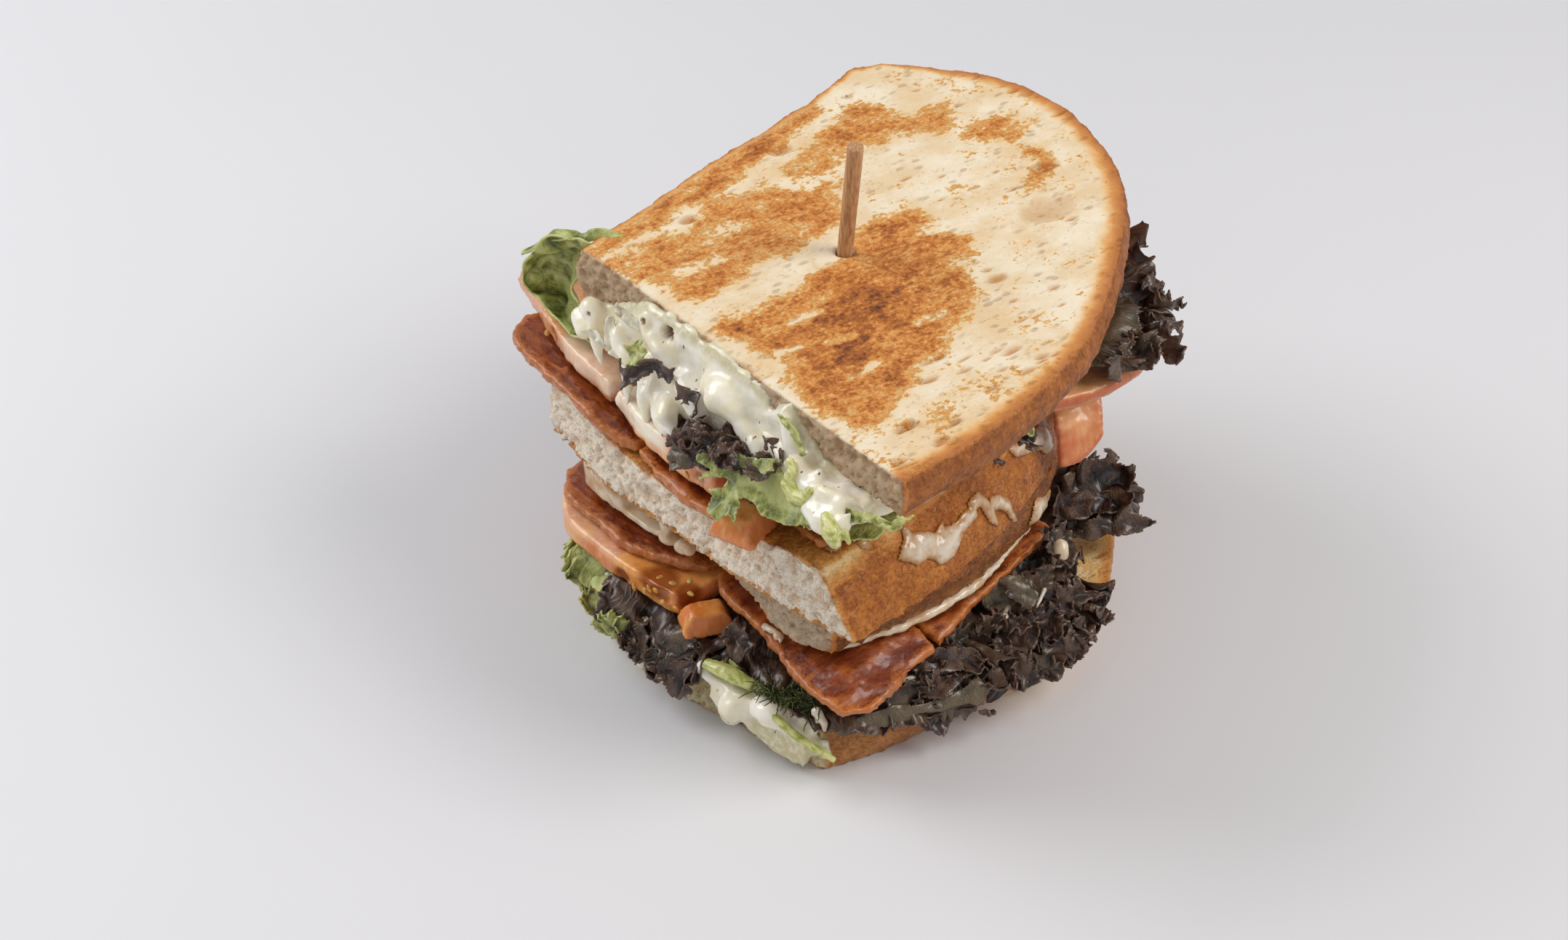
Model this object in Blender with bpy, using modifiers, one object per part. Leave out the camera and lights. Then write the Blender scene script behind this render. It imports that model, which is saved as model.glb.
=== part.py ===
"""A toasted sandwich cut in two, its halves stacked and pinned with a wooden pick.

Plan positions are in millimetres from the top slice's front left corner: x runs along
the cut face to the right, y goes back from it, and z is the height over the table.
The finished model is in metres, with its origin under the middle of the bottom slice.
"""

import math

import bmesh
import bpy
from mathutils import Matrix, Vector, noise

MILLIMETRE = 0.001
ORIGIN = Vector((47.0, 42.0, 0.0))      # the point of the plan that becomes the origin
GAP = 0.3                               # free space between pieces that touch

# Heights of the stack, from the table up.
BOTTOM_SLICE_TOP = 10.8
LOWER_LID_BASE = 31.0                   # underside of the lower half's second slice
LOWER_LID_TOP = 42.0
UPPER_BASE = 42.6                       # underside of the upper half
UPPER_BASE_TOP = 57.6                   # top of the upper half's first slice, at its sides
UPPER_BASE_SQUASH = 5.4                 # how far that slice is pressed down near x = 42
TOP_SLICE_BASE = 75.8
TOP_SLICE_RISE = 3.4                    # the top slice is thinner by this at the right
TOP_SLICE_TOP = 88.0

# The wooden pick.
PICK_RADIUS = 1.75
PICK_HOLE_RADIUS = 2.2
PICK_ENTRY = Vector((37.0, 44.0, TOP_SLICE_TOP))
PICK_TOP = Vector((41.0, 43.0, 117.0))
PICK_TIP_HEIGHT = 3.5
PICK_SIDES = 14
HOLE_SIDES = 10

LEAF_THICKNESS = 0.7
RUFFLED_PART = 0.55                     # share of a leaf that waves, from its free edge
EDGE_FADE = 3.0                         # how close to a leaf's free edge its dips stay
ROW_CROWDING = 1.5                      # more than 1 puts more rows near that edge
LEAF_CLEARANCE = 0.75                   # from a leaf's middle surface to its neighbours
BACON_THICKNESS = 2.0
BACON_RIPPLE = 0.45
BACON_PITCH = 4.4                       # one wave of the ripple is 2 pi times this long
WAVE = 0.5                              # height of the slow unevenness of each layer

# Layers of each filling, as shares of the way up through it.
UPPER_BACON_RISE = 0.9                  # in millimetres, over the bread it lies on
UPPER_TOMATO_BASE = 0.21
UPPER_TOMATO_TOP = 0.48
UPPER_TOMATO_THIN_TOP = 0.4             # the two thinner slices at the right
UPPER_LEAF_PARTING = 0.565
DRESSING_BASE = 0.69
LOWER_DRESSING_TOP = 0.16
LOWER_LEAF_PARTING = 0.40
LOWER_TOMATO_BASE = 0.39
LOWER_TOMATO_TOP = 0.68
LOWER_BACON_BASE = 0.715
LOWER_SAUCE_BASE = 0.9
CHUNK_TOP = 64.3                        # height of the tomato chunk in the upper filling
UNDER_BACON = 21.8                      # height that a leaf keeps below the right bacon

# Edges in plan that more than one piece follows.
BOTTOM_FRONT = [(5, -8), (22, -12.5), (40, -15), (62, -11), (88, -5)]
BOTTOM_RIGHT = [(88, -4.5), (94, 10), (97, 28), (104, 50), (95, 74)]
DRESSING_RIGHT = [(87, -4.5), (92, 8), (94, 28), (88, 66)]
TOMATO_FRONT = [(20.5, -6.5), (34, -8.5), (46, -8.5), (57, -9)]
LID_FRONT = [(-6, 20), (10, 13), (30, 5), (49, -1), (64, -3), (76, -6), (87, -2)]
EDGE_MARGIN = 1.4

COLLECTION = "blt_sandwich"
CUTTERS = "cutters"

CRUMB = (0.80, 0.68, 0.47, 1.0)
DRESSING = (0.80, 0.79, 0.58, 1.0)
GREEN = (0.16, 0.24, 0.06, 1.0)
DARK_LEAF = (0.035, 0.022, 0.024, 1.0)
STEM = (0.45, 0.52, 0.20, 1.0)
TOMATO = (0.72, 0.28, 0.11, 1.0)
BACON = (0.24, 0.05, 0.022, 1.0)
WOOD = (0.55, 0.32, 0.16, 1.0)


def clear_scene():
    for item in list(bpy.data.objects):
        bpy.data.objects.remove(item, do_unlink=True)


def make_collection(name):
    collection = bpy.data.collections.new(name)
    bpy.context.scene.collection.children.link(collection)
    return collection


def make_material(name, colour, roughness):
    material = bpy.data.materials.new(name)
    material.use_nodes = True
    shader = material.node_tree.nodes["Principled BSDF"]
    shader.inputs["Base Color"].default_value = colour
    shader.inputs["Roughness"].default_value = roughness
    shader.inputs["Metallic"].default_value = 0.0
    material.diffuse_color = colour
    return material


def ease(start, end, value):
    """0 before start, 1 after end, and a smooth step between them."""
    t = min(max((value - start) / (end - start), 0.0), 1.0)
    return t * t * (3.0 - 2.0 * t)


def hump(middle, half_width, value):
    """1 at the middle, falling smoothly to 0 at half_width to either side."""
    return 1.0 - ease(0.0, half_width, abs(value - middle))


def unevenness(x, y, seed):
    return noise.noise(Vector((x / 26.0, y / 26.0, seed)))


def curve(points):
    """A smooth curve through the points, as a function of 0 to 1 along it."""
    points = [Vector(p) for p in points]
    stops = [0.0]
    for a, b in zip(points, points[1:]):
        stops.append(stops[-1] + (b - a).length)
    slopes = []
    for i in range(len(points)):
        before, after = max(i - 1, 0), min(i + 1, len(points) - 1)
        slopes.append((points[after] - points[before]) / (stops[after] - stops[before]))

    def at(t):
        s = t * stops[-1]
        i = 0
        while i < len(points) - 2 and s > stops[i + 1]:
            i += 1
        span = stops[i + 1] - stops[i]
        h = (s - stops[i]) / span
        return (
            points[i] * (1 + 2 * h) * (1 - h) ** 2
            + slopes[i] * span * h * (1 - h) ** 2
            + points[i + 1] * h * h * (3 - 2 * h)
            + slopes[i + 1] * span * h * h * (h - 1)
        )

    return at


def patch(front, right, back, left, fade=1.0):
    """A surface between four edges that run round it, each without its last corner.

    The front edge runs left to right, the right one backwards, the back one right to
    left and the left one forwards. The result maps (u, v) from 0 to 1 to a point.
    A larger fade keeps the front edge's own dips and bends close to that edge.
    """
    near = curve(front + right[:1])
    side = curve(right + back[:1])
    far = curve((back + left[:1])[::-1])
    edge = curve((left + front[:1])[::-1])

    def at(u, v):
        share = (1 - v) ** fade
        across = near(u) * share + far(u) * (1 - share)
        along = edge(v) * (1 - u) + side(v) * u
        corners = (near(0) * (1 - u) + near(1) * u) * share
        corners += (far(0) * (1 - u) + far(1) * u) * (1 - share)
        return across + along - corners

    return at


def grid_block(columns, rows, rings):
    """A closed block from -0.5 to 0.5 in x and y and 0 to 1 in z, in triangles."""
    bm = bmesh.new()
    bmesh.ops.create_grid(bm, x_segments=columns, y_segments=rows, size=0.5)
    bmesh.ops.triangulate(bm, faces=bm.faces[:], quad_method="FIXED")
    raised = bmesh.ops.extrude_face_region(bm, geom=bm.faces[:])["geom"]
    top = [item for item in raised if isinstance(item, bmesh.types.BMVert)]
    bmesh.ops.translate(bm, verts=top, vec=(0.0, 0.0, 1.0))
    if rings:
        uprights = [e for e in bm.edges if abs(e.verts[0].co.z - e.verts[1].co.z) > 0.5]
        bmesh.ops.subdivide_edges(bm, edges=uprights, cuts=rings, use_grid_fill=True)
    bmesh.ops.triangulate(bm, faces=bm.faces[:], quad_method="FIXED")
    return bm


def finish(bm, name, material, smooth=True):
    """Turns a bmesh in plan millimetres into an object of the model, in metres."""
    bmesh.ops.recalc_face_normals(bm, faces=bm.faces[:])
    for vert in bm.verts:
        vert.co = (vert.co - ORIGIN) * MILLIMETRE
    mesh = bpy.data.meshes.new(name)
    bm.to_mesh(mesh)
    bm.free()
    item = bpy.data.objects.new(name, mesh)
    mesh.materials.append(material)
    if smooth:
        mesh.shade_smooth()
        mesh.set_sharp_from_angle(angle=math.radians(40.0))
    bpy.data.collections[COLLECTION].objects.link(item)
    return item


def slab(name, low_edges, high_edges, low, high, material, cells, rings=1, bulge=0.0):
    """A thick layer between two outlines and two height functions.

    The side and back walls swell outwards by bulge, and the cut front stays straight.
    """
    under, over = patch(*low_edges), patch(*high_edges)
    centre = over(0.5, 0.5)
    bm = grid_block(cells[0], cells[1], rings)
    for vert in bm.verts:
        u, v, w = vert.co.x + 0.5, vert.co.y + 0.5, vert.co.z
        flat = under(u, v).lerp(over(u, v), w)
        if min(u, 1.0 - u, 1.0 - v) < 0.001:
            out = (flat - centre).normalized()
            flat += out * bulge * math.sin(math.pi * w)
        z = low(flat.x, flat.y) * (1 - w) + high(flat.x, flat.y) * w
        vert.co = (flat.x, flat.y, z)
    return finish(bm, name, material)


def sheet(name, edges, material, cells, thickness, ruffle=0.0, turns=0.0,
          floor=None, ceiling=None):
    """A thin piece between four edges in space, such as a leaf. It starts inside the
    sandwich, at its back edge, and ruffles more and more towards its front edge. It lies
    on a floor and under a ceiling, which are height functions of its middle surface."""
    surface = patch(*edges, fade=EDGE_FADE)
    bm = bmesh.new()
    bmesh.ops.create_grid(bm, x_segments=cells[0], y_segments=cells[1], size=0.5)
    bmesh.ops.triangulate(bm, faces=bm.faces[:], quad_method="FIXED")
    step = 0.01
    for vert in bm.verts:
        u, v = vert.co.x + 0.5, (vert.co.y + 0.5) ** ROW_CROWDING
        point = surface(u, v)
        du = surface(min(u + step, 1), v) - surface(max(u - step, 0), v)
        dv = surface(u, min(v + step, 1)) - surface(u, max(v - step, 0))
        normal = du.cross(dv).normalized()
        rim = 1.0 - ease(0.0, RUFFLED_PART, v)
        wave = math.sin(2 * math.pi * (turns * u + 0.35 * v))
        wave += 0.4 * math.sin(2 * math.pi * (1.7 * turns * u - 0.8 * v))
        point = point + normal * ruffle * rim * wave
        if floor:
            point.z = max(point.z, floor(point.x, point.y))
        if ceiling:
            point.z = min(point.z, ceiling(point.x, point.y))
        vert.co = point
    item = finish(bm, name, material)
    thick = item.modifiers.new("thickness", "SOLIDIFY")
    thick.thickness = thickness * MILLIMETRE
    thick.offset = 0.0
    thick.use_even_offset = False
    return item


def chunk(name, material, middle, size, turn):
    """A cut wedge of tomato: a block whose skin side is round and whose top is narrow."""
    bm = bmesh.new()
    bmesh.ops.create_cube(bm, size=1.0)
    bmesh.ops.subdivide_edges(bm, edges=bm.edges[:], cuts=2, use_grid_fill=True)
    spin = Matrix.Rotation(math.radians(turn), 3, "Z")
    for vert in bm.verts:
        x, y, z = vert.co
        taper = 1.0 - 0.35 * (z + 0.5)
        belly = 1.0 + 0.25 * math.cos(math.pi * z)
        local = Vector((x * size[0] * taper, y * size[1] * belly * taper, z * size[2]))
        vert.co = middle + spin @ local
    bmesh.ops.triangulate(bm, faces=bm.faces[:])
    return finish(bm, name, material)


def strand(name, material, points, radius):
    """A stalk: a round tube along a smooth curve, flattened a little."""
    along = curve(points)
    bm = bmesh.new()
    bmesh.ops.create_cone(bm, cap_ends=True, cap_tris=True, segments=8, radius1=1.0,
                          radius2=1.0, depth=1.0)
    uprights = [e for e in bm.edges if abs(e.verts[0].co.z - e.verts[1].co.z) > 0.5]
    bmesh.ops.subdivide_edges(bm, edges=uprights, cuts=5)
    step = 0.02
    for vert in bm.verts:
        x, y, t = vert.co.x, vert.co.y, vert.co.z + 0.5
        run = (along(min(t + step, 1)) - along(max(t - step, 0))).normalized()
        side = run.cross(Vector((0, 0, 1))).normalized()
        up = side.cross(run)
        girth = radius * (0.62 + 0.38 * math.sin(math.pi * min(max(t, 0.08), 0.92)))
        vert.co = along(t) + side * x * girth + up * y * girth * 0.75
    bmesh.ops.triangulate(bm, faces=bm.faces[:])
    return finish(bm, name, material)


def rod(name, start, end, radius, sides, collection, material=None):
    """A straight round rod between two points of the plan."""
    axis = end - start
    bpy.ops.mesh.primitive_cylinder_add(
        vertices=sides, radius=radius * MILLIMETRE, depth=axis.length * MILLIMETRE
    )
    item = bpy.context.active_object
    item.name = name
    item.data.name = name
    item.location = ((start + end) / 2 - ORIGIN) * MILLIMETRE
    item.rotation_mode = "QUATERNION"
    item.rotation_quaternion = axis.to_track_quat("Z", "Y")
    for owner in list(item.users_collection):
        owner.objects.unlink(item)
    bpy.data.collections[collection].objects.link(item)
    if material:
        item.data.materials.append(material)
        item.data.shade_smooth()
        item.data.set_sharp_from_angle(angle=math.radians(40.0))
    return item


def drill(item, cutter):
    cut = item.modifiers.new("pick_hole", "BOOLEAN")
    cut.operation = "DIFFERENCE"
    cut.solver = "EXACT"
    cut.object = cutter


# Height functions of the layers' faces.


def bottom_slice_top(x, y):
    return BOTTOM_SLICE_TOP + WAVE * unevenness(x, y, 1.0)


def lower_lid_base(x, y):
    return LOWER_LID_BASE + WAVE * unevenness(x, y, 2.0)


def lower_level(share):
    """The height at a share of the way through the lower half's filling."""
    def at(x, y):
        floor = bottom_slice_top(x, y)
        return floor + share * (lower_lid_base(x, y) - floor)
    return at


def upper_base_top(x, y):
    squash = hump(42.0, 46.0, x) * (1.0 - ease(10.0, 60.0, y))
    corner = 1.2 * ease(60.0, 95.0, x)
    return UPPER_BASE_TOP - UPPER_BASE_SQUASH * squash + corner + WAVE * unevenness(x, y, 3.0)


def top_slice_base(x, y):
    return TOP_SLICE_BASE + TOP_SLICE_RISE * ease(10.0, 100.0, x) + WAVE * unevenness(x, y, 4.0)


def upper_level(share):
    """The height at a share of the way through the upper half's filling."""
    def at(x, y):
        floor = upper_base_top(x, y)
        return floor + share * (top_slice_base(x, y) - floor)
    return at


def bacon_bed(x, y):
    """The underside of the lower bacon, which bends down past the front right corner."""
    past = max(ease(84.0, 102.0, x) * (1.0 - ease(14.0, 50.0, y)), 1.0 - ease(-9.0, -1.0, y))
    return lower_level(LOWER_BACON_BASE)(x, y) - 3.0 * past * ease(56.0, 80.0, x)


def rippled(height, rise, ripple, pitch):
    """A height function with waves along x, for a fried strip."""
    return lambda x, y: height(x, y) + rise + ripple * math.sin(x / pitch + y / 9.0)


def interpolate(points, value):
    """The second number of a list of pairs, at a value of the first."""
    for (a, start), (b, end) in zip(points, points[1:]):
        if value <= b or (b, end) == points[-1]:
            share = min(max((value - a) / (b - a), 0.0), 1.0)
            return start + share * (end - start)


def right_of(edge, y):
    """Where an edge that runs backwards is, at a distance from the cut."""
    return interpolate([(b, a) for a, b in edge], y)


def on_lower_floor(share):
    """A leaf's floor: a level of the lower filling over the dressing, and just the bread
    beyond it."""
    def at(x, y):
        if y < interpolate(BOTTOM_FRONT, x) - EDGE_MARGIN:
            return 0.0
        if x < right_of(DRESSING_RIGHT, y) + 3 * EDGE_MARGIN:
            return lower_level(share)(x, y)
        if x < right_of(BOTTOM_RIGHT, y) + EDGE_MARGIN:
            return bottom_slice_top(x, y) + LEAF_CLEARANCE
        return 0.0
    return at


def on_upper_tomato(x, y):
    """A leaf's floor: the tomato slices, and the chunk in front of them."""
    if 61.0 < x < 76.0 and y < -2.5:
        return CHUNK_TOP + LEAF_CLEARANCE
    if 64.5 <= x and y > -2.5:
        return upper_level(UPPER_TOMATO_THIN_TOP)(x, y) + LEAF_CLEARANCE
    if 14.0 < x < 64.5 and y > interpolate(TOMATO_FRONT, x) - 3.0 * EDGE_MARGIN:
        return upper_level(UPPER_TOMATO_TOP)(x, y) + LEAF_CLEARANCE
    return 0.0


def upper_red_floor(x, y):
    """The red leaf's floor: the tomato, and the green leaf where there is one."""
    parting = between_upper_leaves(0.5)(x, y) if x > 44.0 else 0.0
    return max(on_upper_tomato(x, y), parting)


def between_upper_leaves(rise):
    """The surface that parts the green leaf from the red one over it, moved by rise."""
    def at(x, y):
        droop = 0.55 * (1.0 - ease(54.0, 63.0, x))
        return upper_level(UPPER_LEAF_PARTING)(x, y) + rise - droop * max(-7.0 - y, 0.0)
    return at


def dressing_lip(x, y):
    """The underside of the upper dressing, which sags in front of the cut."""
    sag = 1.4 + 0.7 * math.sin(x / 5.2) + 0.4 * math.sin(x / 2.9 + 1.0)
    return upper_level(DRESSING_BASE)(x, y) - sag * (1.0 - ease(-6.0, 11.0, y))


def under_dressing(x, y):
    return dressing_lip(x, y) - LEAF_CLEARANCE


def under_dressing_side(x, y):
    """The ceiling of the leaf that curls up beside the dressing's left end."""
    return under_dressing(x, y) if x > 1.0 else TOP_SLICE_TOP


def under_lower_tomato(x, y):
    return lower_level(LOWER_TOMATO_BASE)(x, y) - LEAF_CLEARANCE


def lower_leaf_parting(rise):
    """The surface that parts the right side's upper leaf from those below it."""
    def at(x, y):
        return lower_level(LOWER_LEAF_PARTING)(x, y) + rise - 0.08 * max(x - 92.0, 0.0)
    return at


def bacon_shadow(x, y):
    """A leaf's ceiling, under the bacon on the right side."""
    edge = interpolate([(22, 94), (32, 92), (42, 90), (66, 84)], y)
    return UNDER_BACON if x < edge else LOWER_LID_TOP


def level(height):
    return lambda x, y: height


def raised(height, rise):
    """A height function moved up by a fixed rise, which keeps pieces apart."""
    return lambda x, y: height(x, y) + rise


# The slices of bread.


def make_bread(crumb):
    outline = (
        [(0, 0), (30, 0.4), (62, -0.4)],
        [(106, 0), (105, 22), (101, 42), (94, 62)],
        [(84, 78), (66, 100), (50, 113), (28, 121), (4, 119)],
        [(-18, 102), (-20, 92), (-16, 82), (-12.5, 62), (-8.5, 40)],
    )
    top = slab("upper_top_bread", outline, outline, top_slice_base,
               lambda x, y: TOP_SLICE_TOP + WAVE * unevenness(x, y, 5.0),
               crumb, (13, 12), rings=2, bulge=1.6)

    low = (
        [(-2, -9), (21, -12.5), (48, -11), (72, -9.5)],
        [(98, -5), (97, 8), (95, 24), (91, 42)],
        [(80, 70), (62, 92), (30, 106), (4, 104)],
        [(-16, 88), (-13, 62), (-8, 30)],
    )
    high = (
        [(-2, -8), (21, -11), (45, -9.5), (68, -9)],
        [(88, -7), (88, 8), (86, 26), (82, 44)],
        [(72, 66), (56, 86), (30, 102), (4, 101)],
        [(-15, 86), (-12, 62), (-7, 30)],
    )
    base = slab("upper_bottom_bread", low, high, level(UPPER_BASE), upper_base_top,
                crumb, (12, 10), rings=2, bulge=0.8)

    outline = (
        LID_FRONT[:-1],
        [LID_FRONT[-1], (89, 20), (88, 40)],
        [(82, 62), (66, 84), (36, 100), (4, 100)],
        [(-16, 86), (-13, 64), (-9, 42)],
    )
    lid = slab("lower_top_bread", outline, outline, lower_lid_base, level(LOWER_LID_TOP),
               crumb, (12, 10), rings=1, bulge=1.2)

    low = (
        BOTTOM_FRONT[:-1],
        [(88, -5), (92, 10), (93, 30), (96, 52)],
        [(88, 76), (68, 97), (40, 110), (8, 110)],
        [(-15, 90), (-9, 60), (-3, 26)],
    )
    high = (
        [(5, -7), (22, -11.5), (40, -14), (62, -10)],
        BOTTOM_RIGHT[:-1],
        [BOTTOM_RIGHT[-1], (72, 97), (40, 110), (8, 110)],
        [(-15, 90), (-9, 60), (-3, 26)],
    )
    floor = slab("lower_bottom_bread", low, high, level(0.0), bottom_slice_top,
                 crumb, (12, 11), rings=1, bulge=1.0)
    return [top, base, lid, floor]


# Dressing between the layers, with lips that hang over the cut.


def make_dressing(sauce):
    outline = (
        [(3, -2), (13, -3.5), (20, -3), (34, -7), (47, -5), (60, -4), (72, -7), (84, -9)],
        [(95, -6), (98, 4), (94, 30)],
        [(80, 62), (60, 88), (10, 100)],
        [(-10, 80), (-3, 30)],
    )

    upper = slab("upper_dressing", outline, outline, dressing_lip,
                 raised(top_slice_base, -GAP), sauce, (20, 7))

    outline = (
        [(8, -6.5), (22, -11.5), (40, -13.8), (62, -10)],
        DRESSING_RIGHT[:-1],
        [DRESSING_RIGHT[-1], (64, 90), (10, 102)],
        [(-10, 84), (-2, 30)],
    )
    lower = slab("lower_dressing", outline, outline, raised(bottom_slice_top, GAP),
                 lower_level(LOWER_DRESSING_TOP), sauce, (12, 8), rings=0)

    outline = (
        [(-5, 4), (4, -5), (16, -6), (30, -5), (44, 0), (60, 1), (74, -3)],
        [(86, 1), (90, 20), (89, 40)],
        [(82, 60), (62, 84), (10, 92)],
        [(-10, 78), (-8, 40)],
    )

    def heap(x, y):
        front = interpolate(LID_FRONT, x)
        clear = 1.0 - ease(front - 15.0, front - 8.0, y)
        lump = hump(8.0, 14.0, x) + 0.55 * hump(36.0, 9.0, x)
        return lower_lid_base(x, y) - GAP + 6.5 * clear * lump

    thin = slab("lower_sauce", outline, outline, lower_level(LOWER_SAUCE_BASE), heap,
                sauce, (13, 8))

    edges = (
        [(61, -13.2, 8), (66, -12.2, 4.5), (70, -11.4, 6.5), (75, -10.4, 3.5), (81, -9.0, 2.5)],
        [(86.5, -7.6, 2.0), (86.5, -7.6, 7)],
        [(86.5, -7.5, 11.5), (74, -10.4, 13.5)],
        [(61, -13.2, 14.0)],
    )
    sheet("lower_dressing_drips", edges, sauce, (11, 3), 2.6)
    return [upper, lower, thin]


# Tomato: flat slices, one that bends over the crust, and two cut chunks.


def make_tomato(flesh):
    crossed = []
    upper = {
        "upper_tomato_left": (
            [(-28, 3), (-14, -1.5), (2, -6)],
            [(18, -6.5), (20, 6)],
            [(17, 32), (0, 42)],
            [(-14, 32)],
        ),
        "upper_tomato_middle": (
            TOMATO_FRONT[:-1],
            [TOMATO_FRONT[-1], (62, -2), (64, 30)],
            [(60, 56), (40, 62), (24, 56)],
            [(20, 34), (22.5, 6)],
        ),
        "upper_tomato_side": (
            [(68, 2), (78, 1)],
            [(89, 0), (92, 14), (89, 40)],
            [(83, 55), (74, 57)],
            [(67, 55), (66, 30)],
        ),
        "upper_tomato_back": (
            [(-11, 56), (6, 48), (20, 59), (36, 66)],
            [(50, 72)],
            [(42, 97), (18, 100)],
            [(-9, 96), (-14, 76)],
        ),
        "upper_tomato_right": (
            [(58, 66), (70, 60)],
            [(84, 60), (87.5, 72)],
            [(87, 86), (79, 97)],
            [(66, 105), (57, 88)],
        ),
    }
    for name, edges in upper.items():
        thin = name in ("upper_tomato_right", "upper_tomato_side")
        top = upper_level(UPPER_TOMATO_THIN_TOP if thin else UPPER_TOMATO_TOP)
        item = slab(name, edges, edges, upper_level(UPPER_TOMATO_BASE), top, flesh, (8, 5),
                    bulge=0.8)
        if name == "upper_tomato_middle":
            crossed.append(item)
    edges = (
        [(-3, -5), (6, -12), (20, -13), (34, -12)],
        [(45, -10), (45.8, 4)],
        [(42, 22), (22, 34)],
        [(0, 28), (-9, 12)],
    )
    low, high = lower_level(LOWER_TOMATO_BASE), lower_level(LOWER_TOMATO_TOP)
    slab("lower_tomato", edges, edges, low, high, flesh, (9, 7), bulge=0.8)
    edges = (
        [(-8, 38), (20, 40), (38, 35)],
        [(54, 33), (56, 52), (50, 74)],
        [(38, 92), (16, 95)],
        [(-2, 92), (-12, 70)],
    )
    crossed.append(slab("lower_tomato_back", edges, edges, low, high, flesh, (7, 6),
                        bulge=0.8))
    edges = (
        [(85.5, 65, 47), (87, 70, 47.5)],
        [(87, 76, 51), (83, 79, 57.5)],
        [(76, 83, 59.6), (73, 78, 59.7)],
        [(72, 71, 59.6), (81, 67, 57.5)],
    )
    sheet("upper_tomato_bent", edges, flesh, (5, 8), 1.8)

    chunk("upper_tomato_chunk", flesh, Vector((68.5, -10.2, 61.0)), (11.0, 11.0, 6.4), 20.0)
    chunk("lower_tomato_chunk", flesh, Vector((51.0, -6.9, 20.6)), (8.0, 11.0, 5.6), -25.0)
    return crossed


# Bacon: rippled strips, the widest of them wrapped round the front right corner.


def make_bacon(meat):
    upper = {
        "upper_bacon_left": (
            [(-20, -2), (-15, -9), (-2, -10.5), (10, -11.5), (20, -11.5)],
            [(29.5, -8.5), (29.5, 2), (27, 45)],
            [(24, 90), (10, 92)],
            [(-6, 90), (-14, 66), (-11, 22)],
        ),
        "upper_bacon_middle": (
            [(30.5, -8.5), (39, -10.2), (50, -10.8)],
            [(62, -10.5), (63, -2), (60, 45)],
            [(57, 84), (44, 88)],
            [(30, 91), (28.2, 45), (30.5, 2)],
        ),
        "upper_bacon_right": (
            [(64.5, 0), (75, -2)],
            [(85, -3), (85, 20), (80, 45)],
            [(76, 59), (68, 60)],
            [(62, 58), (63.5, 20)],
        ),
    }
    crossed = []
    for name, edges in upper.items():
        low = rippled(upper_base_top, UPPER_BACON_RISE, BACON_RIPPLE, BACON_PITCH)
        item = slab(name, edges, edges, low, raised(low, BACON_THICKNESS), meat, (13, 4),
                    rings=0)
        if name == "upper_bacon_middle":
            crossed.append(item)
    lower = {
        "lower_bacon_left": (
            [(-4, -4), (4, -9.5), (16, -10), (28, -9), (38, -5)],
            [(44.5, -1), (45, 8), (44, 50)],
            [(40, 88), (20, 91)],
            [(-2, 90), (-12, 66), (-8, 20)],
        ),
        "lower_bacon_front": (
            [(46, 0), (52, -3), (63, -4.5), (74, -5.5), (86, -7.5)],
            [(97, -7), (99.5, -1), (97.5, 8), (95, 15)],
            [(94, 22), (70, 20)],
            [(46.5, 14)],
        ),
        "lower_bacon_right": (
            [(47, 24), (64, 22), (80, 22.3)],
            [(93.5, 23.5), (91, 32), (88.5, 42), (86, 54)],
            [(83, 66), (72, 68)],
            [(46, 80), (47, 50)],
        ),
    }
    for name, edges in lower.items():
        low = rippled(bacon_bed, 0.0, BACON_RIPPLE, BACON_PITCH)
        item = slab(name, edges, edges, low, raised(low, BACON_THICKNESS), meat, (13, 4),
                    rings=0)
        if name == "lower_bacon_left":
            crossed.append(item)
    return crossed


# Leaves. Each starts inside the filling and spreads, droops or curls outside it.


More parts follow.
